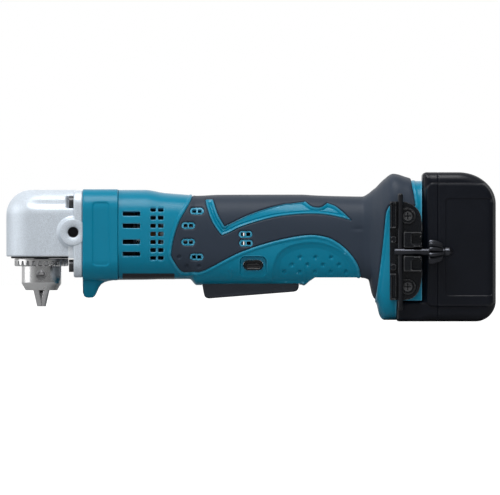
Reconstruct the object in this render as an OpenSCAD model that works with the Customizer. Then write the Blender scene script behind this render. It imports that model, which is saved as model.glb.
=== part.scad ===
// Right angle drill driven by a slide-on battery, with a keyed three-jaw chuck.
// X runs from the spindle back along the motor axis to the battery.
// Z runs up the spindle, and zero is the plane of the closed jaws' tips.

/* [Chuck] */
// Length of the closed jaws standing out of the chuck nose
jaw_out = 10.3; // [9.5:0.1:11]
// Length of the closed jaws held inside the chuck body
jaw_held = 9.4; // [9:0.1:9.8]
// Radius of one jaw
jaw_r = 2.2; // [2:0.05:2.3]
// Slope of the jaws to the spindle
jaw_tilt = 15; // [15:0.5:17]
// Radius of the hole between the closed jaws
grip_r = 0.75; // [0.7:0.01:0.85]
// Radius of the largest bit
grip_max_r = 5; // [4.5:0.1:5.1]
// Slit between neighbouring closed jaws
jaw_slit = 0.25; // [0.2:0.01:0.3]
// Radius of the chuck body
chuck_r = 12.65; // [12.4:0.05:13]
// Radius of the chuck's front face
nose_r = 10.3; // [9.5:0.1:11]
// Height of the bevel at the chuck nose
nose_bevel_h = 4.3; // [3:0.1:5]
// Length of the chuck body below the toothed sleeve
nose_l = 15.4; // [15:0.1:17]
// Radius of the sleeve's toothed ring
ring_r = 17.3; // [16.8:0.1:17.6]
// Height of the toothed ring
ring_h = 4.9; // [4.5:0.1:5.5]
// Number of teeth on the ring
ring_teeth = 26; // [24:1:30]
// Depth of the gaps between the ring's teeth
ring_tooth_h = 2.6; // [2:0.1:3]
// Radius of the hole that takes the chuck key's pilot
pilot_hole_r = 3.25; // [3.1:0.05:3.4]
// Depth of that hole
pilot_hole_l = 5.6; // [4.5:0.1:6]

/* [Angle head] */
// Radius of the head about the spindle
head_r = 22.5; // [22.2:0.1:24]
// Top of the head above the motor axis
head_rise = 28.2; // [27:0.1:30]
// Lower rim of the head below the motor axis
head_drop = 14.4; // [14:0.1:16]
// Rounding of the head's upper edge
head_edge_r = 16; // [12:0.5:18]
// Gap between the rim of the head and the toothed ring
rim_gap = 1.3; // [1.2:0.1:2]
// Spindle axis to the front face of the flange
flange_x = 20.8; // [20.6:0.1:22]
// Thickness of the flange
flange_t = 5.7; // [5:0.1:7]
// Width of the flange
flange_w = 51; // [50:0.5:53]
// Height of the flange
flange_h = 55.6; // [54:0.2:57]
// Corner radius of the flange
flange_corner_r = 9; // [7:0.5:11]
// Radius of the side-handle boss
boss_r = 9; // [8:0.1:9.4]
// Radius of the tapped side-handle hole
socket_r = 3.4; // [3.2:0.05:3.8]
// Depth of the tapped side-handle hole
socket_l = 9; // [8:0.5:10]
// Height of the boss above or below the motor axis
boss_z = 1.1; // [0:0.1:2]
// Screw rows of the flange above and below the motor axis
flange_screw_z = 20.3; // [19.6:0.1:21]
// Screw columns of the flange off the middle plane
flange_screw_y = 18.6; // [18:0.1:19]
// Radius of a flange screw's head
flange_screw_head_r = 4; // [3.6:0.1:4.2]
// Height of a flange screw's head
flange_screw_head_h = 3; // [2.5:0.1:3.5]

/* [Gears] */
// Pitch radius of the crown gear
crown_r = 16.2; // [15.8:0.1:16.4]
// Width of the bevel teeth
bevel_face = 5; // [4.5:0.1:5.4]
// Pitch radius of the ring gear
ring_gear_r = 16.8; // [16.4:0.1:17]
// Width of the planet gears
planet_w = 8; // [7.4:0.1:8.4]
// Outer radius of the ring gear
gearbox_r = 21.4; // [21:0.1:21.8]
// Thickness of the planet carrier
carrier_t = 4; // [3.5:0.1:4.2]
// Radius of a planet pin
planet_pin_r = 2; // [1.8:0.05:2.3]
// Radius of the spindle in its needle bearing
spindle_r = 6; // [5.8:0.1:6.2]
// Radius of the spindle's upper journal and the pinion shaft
journal_r = 4; // [3.8:0.1:4.2]
// Radius of the spindle thread in the chuck
thread_r = 4.76; // [4.5:0.02:4.8]

/* [Motor] */
// Radius of the armature shaft
shaft_r = 2.5; // [2.3:0.05:2.7]
// Outer radius of the motor yoke
yoke_r = 20.6; // [20:0.1:20.8]
// Wall of the motor yoke
yoke_wall = 1.8; // [1.4:0.1:2]
// Length of the motor yoke
yoke_l = 30; // [28:0.5:31]
// Radius of the armature stack
stack_r = 14; // [13:0.1:14.4]
// Radius of the commutator
commutator_r = 7.5; // [7:0.1:8]
// Radius of the fan
fan_r = 19.5; // [18.5:0.1:20.5]
// Number of fan blades
fan_blades = 11; // [9:1:13]

/* [Front cover] */
// Length of the front cover
cover_l = 22.6; // [22.2:0.1:24]
// Width of the front cover
cover_w = 54.6; // [53:0.2:56]
// Height of the front cover
cover_h = 58.2; // [57:0.2:60]
// Corner radius of the front cover
cover_corner_r = 13; // [11:0.5:15]
// Middle of the front cover below the motor axis
cover_sag = 0.5; // [0:0.1:1]
// Length of the bare panel on the cover's side
panel_l = 11; // [9:0.5:13]
// Height of the bare panel on the cover's side
panel_h = 41; // [36:0.5:44]
// Depth of the bare panel
panel_depth = 0.6; // [0.4:0.1:0.8]
// Drop of the lamp nub below the cover
nub_drop = 11.2; // [10:0.1:12]
// Length of the lamp nub along the cover
nub_l = 18.4; // [17:0.2:20]
// Width of the lamp nub
nub_w = 18; // [16:0.5:20]
// Radius of the lamp lens
lens_r = 2.5; // [2.2:0.1:3]

/* [Housing] */
// Wall of the housing shells
wall = 2.6; // [2.4:0.1:2.9]
// Length of the barrel that tapers into the handle
barrel_l = 48; // [46:0.5:50]
// Width of the barrel
barrel_w = 54; // [53:0.2:56]
// Top of the barrel above the motor axis
barrel_rise = 28.2; // [27.5:0.1:29]
// Underside of the barrel below the motor axis
barrel_drop = 29.4; // [29:0.1:30]
// Length of the handle
handle_l = 108; // [104:0.5:112]
// Width of the handle
handle_w = 47.6; // [47.4:0.2:50]
// Top of the handle above the motor axis
handle_rise = 24.8; // [24.6:0.1:26]
// Underside of the handle below the motor axis
handle_drop = 27.8; // [27:0.1:29]
// Drop of the trigger bulge under the handle
bulge_drop = 4.9; // [4.4:0.1:5.4]
// Length of the foot that carries the battery
foot_l = 38; // [37.5:0.1:40]
// Width of the foot
foot_w = 73; // [72:0.5:74]
// Top of the foot above the motor axis
foot_rise = 38.4; // [38:0.2:40]
// Underside of the foot below the motor axis
foot_drop = 55; // [54.6:0.2:56]
// Roundness of the shells' sections, where two is an ellipse
roundness = 3.2; // [2.8:0.1:3.6]
// Depth of the soft grip covers
grip_t = 1.6; // [1.4:0.1:1.8]
// Height of the grip covers above the shells
grip_proud = 0.3; // [0.2:0.05:0.4]
// Length of a long vent
vent_l = 11.4; // [10:0.2:12]
// Height of a long vent
vent_h = 3.1; // [2.6:0.1:3.4]
// Length of a short vent
short_vent_l = 3.7; // [3.2:0.1:4]
// Height of a short vent
short_vent_h = 2.8; // [2.4:0.1:3.2]
// Spacing of the short vents
short_vent_pitch = 5.2; // [5:0.05:5.4]
// Radius of a housing screw
screw_r = 1.5; // [1.3:0.1:1.7]
// Radius of a housing screw's head
screw_head_r = 2.8; // [2.5:0.1:3]

/* [Switch] */
// Length of the trigger paddle
trigger_l = 61.8; // [60:0.2:63]
// Width of the trigger paddle
trigger_w = 21; // [20:0.5:22]
// Drop of the trigger's front end below the bulge
trigger_front = 8.9; // [8:0.1:10]
// Drop of the trigger's rear end below the bulge
trigger_rear = 4; // [3.5:0.1:4.5]
// Stroke of the trigger in degrees
trigger_turn = 5.5; // [5:0.1:5.8]
// Radius of the trigger pin
trigger_pin_r = 1.6; // [1.4:0.1:1.8]
// Length of the forward and reverse bar's head
bar_l = 12.6; // [11.5:0.2:13]
// Height of the forward and reverse bar's head
bar_h = 6.2; // [5.8:0.1:6.4]
// Stroke of the forward and reverse bar to either side
bar_stroke = 3; // [2.5:0.1:3.2]
// Length of the switch body
switch_l = 36; // [34:0.5:37]
// Width of the switch body
switch_w = 22; // [20:0.5:24]
// Height of the switch body
switch_h = 20; // [18:0.5:20.5]

/* [Battery] */
// Width of the battery
battery_w = 74; // [73:0.5:76]
// Height of the battery
battery_h = 95.2; // [94.8:0.2:98]
// Length of the battery along the tool
battery_l = 46.8; // [46:0.2:49]
// Length of the battery's upper case along the tool
upper_case_l = 9.8; // [9:0.2:11]
// Rounding of the battery's long edges
battery_edge_r = 8; // [6:0.5:9]
// Rounding of the battery's upper rear edge along the tool
battery_back_r = 24; // [20:0.5:26]
// Rounding of the battery's lower rear edge
battery_heel_r = 13; // [11:0.5:14]
// Radius of one cell
cell_r = 9.15; // [9:0.05:9.25]
// Length of one cell
cell_l = 65; // [64:0.2:65.6]
// Width of the slide head
slide_w = 53; // [51:0.5:54]
// Width of the neck behind the slide head
slide_neck_w = 43; // [41:0.5:45]
// Thickness of the slide head
slide_t = 7.2; // [6.8:0.1:7.6]
// Depth of the rail channel in the foot
channel_depth = 10.8; // [10.6:0.1:11.2]
// Height of the battery lip under the foot
lip_h = 11.6; // [11:0.1:12.4]
// Length of the battery lip along the tool
lip_l = 16; // [15:0.2:17]
// Width of the release button
release_w = 22; // [20:0.5:26]
// Stroke of the release button
release_stroke = 3; // [2.5:0.1:3.2]

/* [Key] */
// Radius of the key's shaft
key_r = 2.3; // [2.1:0.05:2.5]
// Length of the key's shaft from its rear end to the toothed cone
key_shaft_l = 22; // [21:0.2:23]
// Large radius of the toothed cone
key_gear_r = 7.9; // [7.4:0.1:8.2]
// Small radius of the toothed cone
key_gear_small_r = 4.8; // [4.4:0.1:5]
// Length of the toothed cone
key_gear_l = 8.9; // [8:0.1:9.5]
// Number of teeth on the cone
key_teeth = 11; // [10:1:12]
// Radius of the key's pilot
key_pilot_r = 2.9; // [2.7:0.05:3]
// Length of the key's pilot
key_pilot_l = 7.2; // [6.5:0.1:8]
// Radius of the cross bar
key_bar_r = 1.65; // [1.5:0.05:1.8]
// Length of the cross bar
key_bar_l = 74.4; // [72:0.2:77]
// Depth of the key below the motor axis
key_drop = 11.4; // [10.8:0.1:12]
// Thickness of the key holder's plate
holder_t = 4; // [3.6:0.1:4.6]
// Height of the key holder
holder_h = 63; // [61:0.5:65]
// Length of the key holder along the tool
holder_l = 20.6; // [20:0.1:21.4]

/* [Hidden] */
// Clearance of a running fit, on the radius
run_gap = 0.05;
// Clearance between pieces that seat in each other
seat_gap = 0.05;
// Clearance between pieces that pass each other
pass_gap = 0.4;
// Overrun of a cut
over = 1;
// Smoothness of round faces
$fn = 64;

// Teeth of the crown gear and its pinion, of the sun gear and of one planet gear
crown_teeth = 24;
pinion_teeth = 10;
sun_teeth = 12;
planet_teeth = 15;

// Heights on the spindle
ring_z = jaw_out + nose_l;
rim_z = ring_z + ring_h + rim_gap;
axis_z = rim_z + head_drop;
jaw_travel = (grip_max_r - grip_r) / sin(jaw_tilt);
chuck_top_z = jaw_out + jaw_held + jaw_travel * cos(jaw_tilt) + pass_gap;
recess_z = chuck_top_z + pass_gap;

// Places along the motor axis
flange_back_x = flange_x + flange_t;
body_x = flange_back_x + cover_l;
handle_x = body_x + barrel_l;
foot_x = handle_x + handle_l;
foot_end_x = foot_x + foot_l;

// Teal plastic, dark plastic, soft cover, cast metal, steel, copper and brass
shell_color = [0.0, 0.46, 0.55];
dark_color = [0.09, 0.10, 0.11];
soft_color = [0.22, 0.25, 0.28];
cast_color = [0.74, 0.77, 0.79];
steel_color = [0.6, 0.61, 0.62];
copper_color = [0.72, 0.42, 0.2];

// A point a given share of the way between two others
function mix(a, b, share) = a + (b - a) * share;

// Puts a flat section in Y and Z at a place on the motor axis and draws it out along X
module section(x, l) translate([x, 0, axis_z]) rotate([90, 0, 90]) linear_extrude(l) children();

// Draws a side view in X and Z, measured from the motor axis, out to both sides
module side_view(w) translate([0, w / 2, axis_z]) rotate([90, 0, 0]) linear_extrude(w) children();

// Turns a profile of radius and length about the motor axis, or a line beside it
module turned(x, y = 0, z = 0) translate([x, y, axis_z + z]) rotate([0, 90, 0]) rotate_extrude() children();

// A round bar along X
module bar_x(x, l, r, y = 0, z = 0) translate([x, y, axis_z + z]) rotate([0, 90, 0]) cylinder(l, r, r);

// A round bar along Y, from one side to the other
module bar_y(x, z, y0, y1, r) translate([x, y1, axis_z + z]) rotate([90, 0, 0]) cylinder(y1 - y0, r, r);

// An upright round bar on the spindle, between two heights
module bar_z(z0, z1, r) translate([0, 0, z0]) cylinder(z1 - z0, r, r);

// A box between two corners, with heights measured from the motor axis
module block(low, high) translate(low + [0, 0, axis_z]) cube(high - low);

// A flat rectangle with round corners
module rounded(w, h, r) {
    square([w - 2 * r, h], center = true);
    square([w, h - 2 * r], center = true);
    for (x = [-1, 1], y = [-1, 1]) translate([x * (w / 2 - r), y * (h / 2 - r)]) circle(r);
}

// A flat slot with round ends along its first direction
module slot(l, h) {
    square([l - h, h], center = true);
    for (x = [-1, 1]) translate([x * (l - h) / 2, 0]) circle(h / 2);
}

// A vent between two round ends
module vent(l, h) hull() for (x = [-1, 1]) translate([x * (l - h) / 2, 0]) circle(h / 2);

// A ball bearing with its shields set back in both faces
module bearing_profile(r_in, r_out, w) {
    ring = (r_out - r_in) * bearing_ring_share;
    set_back = w * bearing_shield_share;
    difference() {
        translate([r_in, 0]) square([r_out - r_in, w]);
        for (y = [-over, w - set_back])
            translate([r_in + ring, y]) square([r_out - r_in - 2 * ring, over + set_back]);
    }
}
bearing_ring_share = 0.24;
bearing_shield_share = 0.08;

// Involute teeth: the angle that an involute has turned at a radius
function involute(r, base) = r > base ? sqrt(pow(r / base, 2) - 1) * 180 / PI - acos(base / r) : 0;

// Half the angle of a tooth at a radius, less the play on one flank
function tooth_half(teeth, pitch, r, play) =
    90 / teeth + involute(pitch, pitch * cos(pressure)) - involute(r, pitch * cos(pressure)) - play;
pressure = 25;
flank_count = 3;
bevel_count = 2;

// Points of a gear outline as angle and height over the pitch circle, tooth by tooth
function gear_flanks(teeth, pitch, add, ded, play, steps = flank_count) = [
    for (i = [0 : teeth - 1]) each [
        for (side = [-1, 1], k = [0 : steps])
            let (s = side < 0 ? k : steps - k, h = mix(-ded, add, s / steps))
            [i * 360 / teeth + side * tooth_half(teeth, pitch, pitch + h, play), h]
    ]
];
function gear_points(teeth, pitch, add, ded, play) =
    [for (f = gear_flanks(teeth, pitch, add, ded, play)) (pitch + f.y) * [cos(f.x), sin(f.x)]];

// A bevel gear about Z with the tip of its pitch cone at zero, its teeth drawn in from the wide end
module bevel_teeth(teeth, pitch, cone, face, add, ded, play, core, back) {
    far = pitch / sin(cone);
    near_share = (far - face) / far;
    flanks = gear_flanks(teeth / cos(cone), pitch / cos(cone), add, ded, play, bevel_count);
    count = teeth * 2 * (bevel_count + 1);
    wide = [
        for (i = [0 : teeth - 1], j = [0 : 2 * bevel_count + 1])
            let (f = flanks[j], a = i * 360 / teeth + f.x / cos(cone), r = pitch + f.y * cos(cone))
            [r * cos(a), r * sin(a), far * cos(cone) - f.y * sin(cone)]
    ];
    round_at = function(r, z) [for (p = wide) let (a = atan2(p.y, p.x)) [r * cos(a), r * sin(a), z]];
    low = min([for (p = wide) p.z]) * near_share;
    points = concat(
        wide * near_share,
        wide,
        round_at(pitch - ded * cos(cone), back),
        round_at(core, back),
        round_at(core, low)
    );
    rings = 5;
    faces = [
        for (k = [0 : rings - 1], j = [0 : count - 1])
            let (a = k * count, b = (k + 1) % rings * count, n = (j + 1) % count)
            each [[a + j, b + j, b + n], [a + j, b + n, a + n]]
    ];
    polyhedron(points, faces);
}

// Angle head

pinion_r = crown_r * pinion_teeth / crown_teeth;
crown_cone = atan(crown_r / pinion_r);
bevel_module = 2 * crown_r / crown_teeth;
crown_add_share = 0.75;
pinion_add_share = 0.85;
bevel_root_share = 1.1;
bevel_play = 0.6;
crown_back = pinion_r + bevel_module * 2.6;
top_bearing_r = journal_r * 2.75;
bearing_w = journal_r * 1.75;
top_bearing_z = crown_back + pass_gap;
crown_room_r = crown_r + bevel_module;
pinion_room_r = pinion_r + bevel_module * 1.2;
pinion_room_x = (crown_r / sin(crown_cone) - bevel_face) * sin(crown_cone) - bevel_module;
pinion_bearing_x = flange_back_x - bearing_w - pass_gap;
needle_wall = 2;
needle_r = spindle_r + needle_wall;
needle_l = spindle_r * 1.6;
dust_ring_r = 19.5;
dust_ring_t = 1.5;
dust_ring_drop = 0.7;
ring_room = 0.7;
recess_r = ring_r + ring_room;
crown_core_wall = 1.5;
crown_hub_wall = 2;

module head_profile() intersection() {
    translate([0, -head_drop]) square([head_r, head_drop + head_rise]);
    union() {
        translate([0, -head_drop]) square([head_r, head_drop + head_rise - head_edge_r]);
        translate([0, -head_drop]) square([head_r - head_edge_r, head_drop + head_rise]);
        translate([head_r - head_edge_r, head_rise - head_edge_r]) circle(head_edge_r);
    }
}

module angle_head() color(cast_color) difference() {
    union() {
        translate([0, 0, axis_z]) rotate([0, 0, 90]) rotate_extrude(angle = 180) head_profile();
        section(0, flange_x) {
            head_profile();
            mirror([1, 0]) head_profile();
        }
        section(flange_x, flange_t) rounded(flange_w, flange_h, flange_corner_r);
        intersection() {
            bar_y(flange_x, boss_z, -flange_w / 2, flange_w / 2, boss_r);
            block([0, -flange_w, -flange_h], [flange_back_x, flange_w, flange_h]);
        }
    }
    for (side = [-1, 1]) {
        translate([flange_x, side * (flange_w / 2 + over), axis_z + boss_z])
            rotate([side * 90, 0, 0]) cylinder(socket_l + over, socket_r, socket_r);
        bar_x(-flange_x / 2, flange_x * 1.5, flange_screw_head_r + pass_gap, side * flange_screw_y,
            flange_screw_z);
        for (z = [-1, 1])
            bar_x(flange_x - over, flange_t + 2 * over, screw_r + seat_gap, side * flange_screw_y,
                z * flange_screw_z);
    }
    bar_z(rim_z - over, recess_z, recess_r);
    bar_z(rim_z - over, rim_z + dust_ring_t - dust_ring_drop + seat_gap, dust_ring_r + seat_gap);
    bar_z(recess_z - over, recess_z + needle_l, needle_r + seat_gap);
    bar_z(recess_z, axis_z + pinion_r, spindle_r + pass_gap);
    bar_z(axis_z + crown_tip_z, axis_z + top_bearing_z, crown_room_r);
    bar_z(axis_z, axis_z + top_bearing_z + bearing_w, top_bearing_r + seat_gap);
    bar_x(pinion_room_x, flange_back_x - pinion_room_x, pinion_room_r);
    bar_x(pinion_bearing_x, flange_t + bearing_w, top_bearing_r + seat_gap);
}
near_tooth_share = 0.4;
crown_tip_z = pinion_r * near_tooth_share;

module flange_screws() color(steel_color) for (y = [-1, 1], z = [-1, 1]) difference() {
    turned(flange_x - flange_screw_head_h, y * flange_screw_y, z * flange_screw_z) {
        square([flange_screw_head_r, flange_screw_head_h]);
        square([screw_r, flange_screw_head_h + flange_t + cover_l / 2]);
    }
    bar_x(flange_x - flange_screw_head_h - over, over + flange_screw_head_h / 2, screw_r, y * flange_screw_y,
        z * flange_screw_z, $fn = 6);
}

module dust_ring() color(dark_color) translate([0, 0, rim_z - dust_ring_drop]) rotate_extrude()
    translate([recess_r, 0]) square([dust_ring_r - recess_r, dust_ring_t]);

module spindle() color(steel_color) difference() {
    translate([0, 0, chuck_top_z]) rotate_extrude() {
        translate([0, -thread_l]) square([thread_r, thread_l + over]);
        square([spindle_r, axis_z + top_bearing_z - chuck_top_z]);
        square([journal_r, axis_z + top_bearing_z + bearing_w - chuck_top_z]);
    }
    bar_z(chuck_top_z - thread_l - over, chuck_top_z - thread_l + screw_hold_l, chuck_screw_r + seat_gap);
}
thread_l = thread_r * 1.7;
chuck_screw_r = thread_r / 2;
chuck_screw_head_r = thread_r * 0.8;
chuck_screw_head_h = thread_r * 0.6;
screw_hold_l = thread_r * 2;

module crown_gear() color(steel_color) translate([0, 0, axis_z]) difference() {
    union() {
        bevel_teeth(crown_teeth, crown_r, crown_cone, bevel_face, bevel_module * crown_add_share,
            bevel_module * bevel_root_share, bevel_play, spindle_r + crown_core_wall, crown_back);
        bar_z(pinion_r, crown_back, spindle_r + crown_hub_wall);
    }
    bar_z(0, crown_back + over, spindle_r + seat_gap);
}

module spindle_top_bearing() color(steel_color) translate([0, 0, axis_z + top_bearing_z]) rotate_extrude()
    bearing_profile(journal_r + run_gap, top_bearing_r, bearing_w);

module spindle_needle_bearing() color(steel_color) translate([0, 0, recess_z]) rotate_extrude()
    translate([spindle_r + run_gap, 0]) square([needle_wall - run_gap, needle_l - seat_gap]);

// Chuck

// Distance of a jaw's axis from the spindle at a height
function jaw_axis_r(z) = jaw_tip_r + z * tan(jaw_tilt);
jaw_tip_r = 0.6;
jaw_end = [90, 210, 330];

// One jaw bore or jaw body in the plane of its own tilt, from the tips up
module jaw_bar(r, l) translate([jaw_tip_r, 0, 0]) rotate([0, jaw_tilt, 0])
    translate([0, 0, -over * 4]) cylinder(l + over * 4, r, r);

nut_gap = 0.6;
nut_z = ring_z + nut_gap;
nut_h = ring_h - nut_gap;
nut_wall = 0.9;
nut_r = chuck_r + nut_wall;
nut_room_r = jaw_axis_r(nut_z) + jaw_r - over / 2;

module chuck_body() color(steel_color) difference() {
    rotate_extrude() difference() {
        polygon([
            [0, jaw_out], [nose_r, jaw_out], [chuck_r, jaw_out + nose_bevel_h], [chuck_r, nut_z - pass_gap],
            [nut_room_r, nut_z - pass_gap], [nut_room_r, nut_z + nut_h + pass_gap],
            [chuck_r, nut_z + nut_h + pass_gap], [chuck_r, chuck_top_z], [0, chuck_top_z]
        ]);
        translate([0, chuck_top_z - thread_l - seat_gap]) square([thread_r + seat_gap, thread_l + over]);
        square([bore_r, chuck_top_z - thread_l]);
    }
    for (a = jaw_end) rotate([0, 0, a]) jaw_bar(jaw_r + run_gap, chuck_top_z / cos(jaw_tilt) + over);
    for (a = jaw_end) rotate([0, 0, a + 180]) translate([chuck_r - pilot_hole_l, 0, pilot_z])
        rotate([0, 90, 0]) cylinder(pilot_hole_l + over, pilot_hole_r, pilot_hole_r);
}
bore_gap = 0.2;
bore_r = grip_max_r + bore_gap;
pilot_z = jaw_out + nose_l * 0.64;

// The sleeve's lower rim is cut into teeth that face the chuck nose
module chuck_sleeve() color(steel_color) difference() {
    translate([0, 0, ring_z]) rotate_extrude() difference() {
        polygon([
            [chuck_r + pass_gap, 0], [ring_r - ring_tooth_h / 2, 0], [ring_r, ring_tooth_h],
            [ring_r, ring_h], [chuck_r + pass_gap, ring_h]
        ]);
        translate([0, nut_gap]) square([nut_r + seat_gap, ring_h]);
    }
    for (i = [0 : ring_teeth - 1]) rotate([0, 0, (i + 0.5) * 360 / ring_teeth]) translate([ring_r, 0, ring_z])
        rotate([0, -ring_tooth_slope, 0]) translate([0, 0, -over]) rotate([0, 0, 45])
        cylinder(ring_tooth_h * 3, ring_tooth_r, ring_tooth_r, $fn = 4, center = true);
}
ring_tooth_slope = 40;
ring_tooth_r = PI * ring_r / ring_teeth * 0.72;

module chuck_nut() color(steel_color) translate([0, 0, nut_z]) rotate_extrude() polygon([
    [nut_bore(nut_z), 0], [nut_r, 0], [nut_r, nut_h], [nut_bore(nut_z + nut_h), nut_h]
]);
function nut_bore(z) = jaw_axis_r(z) + jaw_r / cos(jaw_tilt) + run_gap * 2;

module chuck_jaw(a) color(steel_color) rotate([0, 0, a]) difference() {
    intersection() {
        jaw_bar(jaw_r, (jaw_out + jaw_held) / cos(jaw_tilt));
        linear_extrude(chuck_top_z) polygon([
            [jaw_slit, 0], [jaw_slit + chuck_r, chuck_r * tan(60)], [chuck_r * 3, chuck_r * tan(60)],
            [chuck_r * 3, -chuck_r * tan(60)], [jaw_slit + chuck_r, -chuck_r * tan(60)]
        ]);
    }
    translate([0, 0, -over]) cylinder(chuck_top_z, grip_r, grip_r);
}
module chuck_jaw_1() chuck_jaw(jaw_end[0]);
module chuck_jaw_2() chuck_jaw(jaw_end[1]);
module chuck_jaw_3() chuck_jaw(jaw_end[2]);

module chuck_screw() color(dark_color)
    translate([0, 0, chuck_top_z - thread_l - seat_gap - chuck_screw_head_h]) rotate_extrude() {
        square([chuck_screw_head_r, chuck_screw_head_h]);
        square([chuck_screw_r, chuck_screw_head_h + screw_hold_l - over]);
    }

// Gear train

pinion_shaft_end_x = flange_back_x + pass_gap * 2 + carrier_t;
carrier_x = flange_back_x + pass_gap * 2;
planet_x = carrier_x + carrier_t + pass_gap;
planet_module = 2 * ring_gear_r / (sun_teeth + 2 * planet_teeth);
planet_r = planet_module * planet_teeth / 2;
sun_r = planet_module * sun_teeth / 2;
planet_axis_r = sun_r + planet_r;
gear_play = 0.5;
tooth_add_share = 0.9;
tooth_ded_share = 1.15;
ring_add_share = 0.75;
carrier_rim = 1;
carrier_r = planet_axis_r + planet_pin_r + carrier_rim;
gearbox_end_x = planet_x + planet_w + pass_gap * 2;
plate_t = 3;
small_bearing_r = shaft_r * 3.2;
small_bearing_w = shaft_r * 2;
front_bearing_x = gearbox_end_x + plate_t / 2;

module pinion_shaft() color(steel_color) translate([0, 0, axis_z]) rotate([0, 90, 0]) {
    rotate([0, 0, 180 + 180 / pinion_teeth])
        bevel_teeth(pinion_teeth, pinion_r, 90 - crown_cone, bevel_face, bevel_module * pinion_add_share,
            bevel_module * bevel_root_share, bevel_play, pinion_core_r - pinion_core_step,
            crown_r + bevel_module);
    bar_z(pinion_room_x + bevel_module * 2, crown_r + bevel_module * 2, pinion_core_r);
    bar_z(crown_r + bevel_module / 2, pinion_shaft_end_x, journal_r);
}
pinion_core_r = pinion_r * 0.42;
pinion_core_step = 0.5;

module pinion_bearing() color(steel_color) turned(pinion_bearing_x)
    bearing_profile(journal_r + run_gap, top_bearing_r, bearing_w);

module planet_carrier() color(steel_color) turned(carrier_x) difference() {
    square([carrier_r, carrier_t]);
    square([journal_r + seat_gap, carrier_t]);
}

// Three places round the motor axis
planet_turns = [0, 120, 240];
module round_axis(a) translate([0, 0, axis_z]) rotate([a, 0, 0]) translate([0, 0, -axis_z]) children();

module planet_pins() color(steel_color) for (a = planet_turns) round_axis(a)
    bar_x(carrier_x + carrier_t, planet_w + pass_gap, planet_pin_r, 0, -planet_axis_r);

module planet_gear(a) color(steel_color) round_axis(a) translate([planet_x, 0, axis_z - planet_axis_r])
    rotate([0, 90, 0]) linear_extrude(planet_w) difference() {
        polygon(gear_points(planet_teeth, planet_r, planet_module * tooth_add_share,
            planet_module * tooth_ded_share, gear_play));
        circle(planet_pin_r + run_gap);
    }
module planet_gear_1() planet_gear(planet_turns[0]);
module planet_gear_2() planet_gear(planet_turns[1]);
module planet_gear_3() planet_gear(planet_turns[2]);

module sun_gear() color(steel_color) translate([planet_x, 0, axis_z]) rotate([0, 90, 0])
    linear_extrude(planet_w + pass_gap) difference() {
        polygon(gear_points(sun_teeth, sun_r, planet_module * tooth_add_share,
            planet_module * tooth_ded_share, gear_play));
        circle(shaft_r + seat_gap);
    }

module ring_gear() color(steel_color) {
    ring_start_x = flange_back_x + seat_gap;
    translate([ring_start_x, 0, axis_z]) rotate([0, 90, 0]) linear_extrude(gearbox_end_x - ring_start_x)
        difference() {
            circle(gearbox_r);
            polygon(gear_points(2 * planet_teeth + sun_teeth, ring_gear_r, planet_module * tooth_ded_share,
                planet_module * ring_add_share, 0));
        }
}

module gearbox_plate() color(cast_color) turned(gearbox_end_x + seat_gap) difference() {
    union() {
        square([gearbox_r, plate_t]);
        square([small_bearing_r + plate_t, body_x - gearbox_end_x - pass_gap]);
    }
    square([small_bearing_r - plate_t / 2, over * 4]);
    translate([0, plate_t / 2]) square([small_bearing_r + seat_gap, body_x - gearbox_end_x]);
}

// Motor

fan_x = body_x + pass_gap * 6;
fan_w = vent_l * 0.78;
fan_disc_t = 1.5;
fan_hub_wall = 2;
fan_hub_r = shaft_r + fan_hub_wall;
yoke_share = 0.64;
yoke_x = body_x + barrel_l * yoke_share;
yoke_end_x = yoke_x + yoke_l;
winding_r = stack_r * 0.9;
winding_l = stack_r * 0.75;
winding_back_l = winding_l / 3;
winding_back_r = winding_r - winding_back_l;
commutator_x = yoke_end_x + winding_back_l + pass_gap * 3;
commutator_l = commutator_r * 1.1;
rear_bearing_x = commutator_x + commutator_l + pass_gap * 3;
brush_w = commutator_l * 0.6;
brush_l = yoke_r * 0.42;
brush_wall = 1.2;
brush_plate_t = 2;
magnet_half = 62;

module armature() color(steel_color) {
    bar_x(planet_x, rear_bearing_x + small_bearing_w - planet_x, shaft_r);
    translate([yoke_x + seat_gap, 0, axis_z]) rotate([0, 90, 0])
        linear_extrude(yoke_l - 2 * seat_gap) difference() {
            circle(stack_r);
            for (i = [0 : stack_slot_count - 1]) rotate([0, 0, i * 360 / stack_slot_count])
                translate([winding_r, -stack_slot_w / 2]) square([stack_r, stack_slot_w]);
        }
}
stack_slot_count = 12;
stack_slot_w = stack_r / 7;

module windings() color(copper_color) {
    turned(yoke_x - winding_l) translate([shaft_r + seat_gap, 0]) {
        square([winding_back_r - shaft_r, winding_l]);
        translate([0, winding_l / 3]) square([winding_r - shaft_r - seat_gap, winding_l * 2 / 3]);
    }
    turned(yoke_end_x) translate([shaft_r + seat_gap, 0])
        square([winding_back_r - shaft_r, winding_back_l]);
}

module commutator() color(copper_color) turned(commutator_x) translate([shaft_r + seat_gap, 0])
    square([commutator_r - shaft_r - seat_gap, commutator_l]);

module fan() color(dark_color) {
    turned(fan_x) translate([shaft_r + seat_gap, 0]) {
        square([fan_hub_r - shaft_r, fan_w]);
        translate([0, fan_w - fan_disc_t]) square([fan_r - shaft_r - seat_gap, fan_disc_t]);
        translate([skirt_r - shaft_r - seat_gap - fan_disc_t, fan_w - over])
            square([fan_disc_t, pass_gap * 4]);
    }
    for (i = [0 : fan_blades - 1]) round_axis(i * 360 / fan_blades)
        block([fan_x, -fan_disc_t / 2, fan_hub_r],
            [fan_x + fan_w - fan_disc_t, fan_disc_t / 2, fan_r - over]);
}

module motor_front_bearing() color(steel_color) turned(front_bearing_x + seat_gap * 2)
    bearing_profile(shaft_r + run_gap, small_bearing_r, small_bearing_w);

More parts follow.
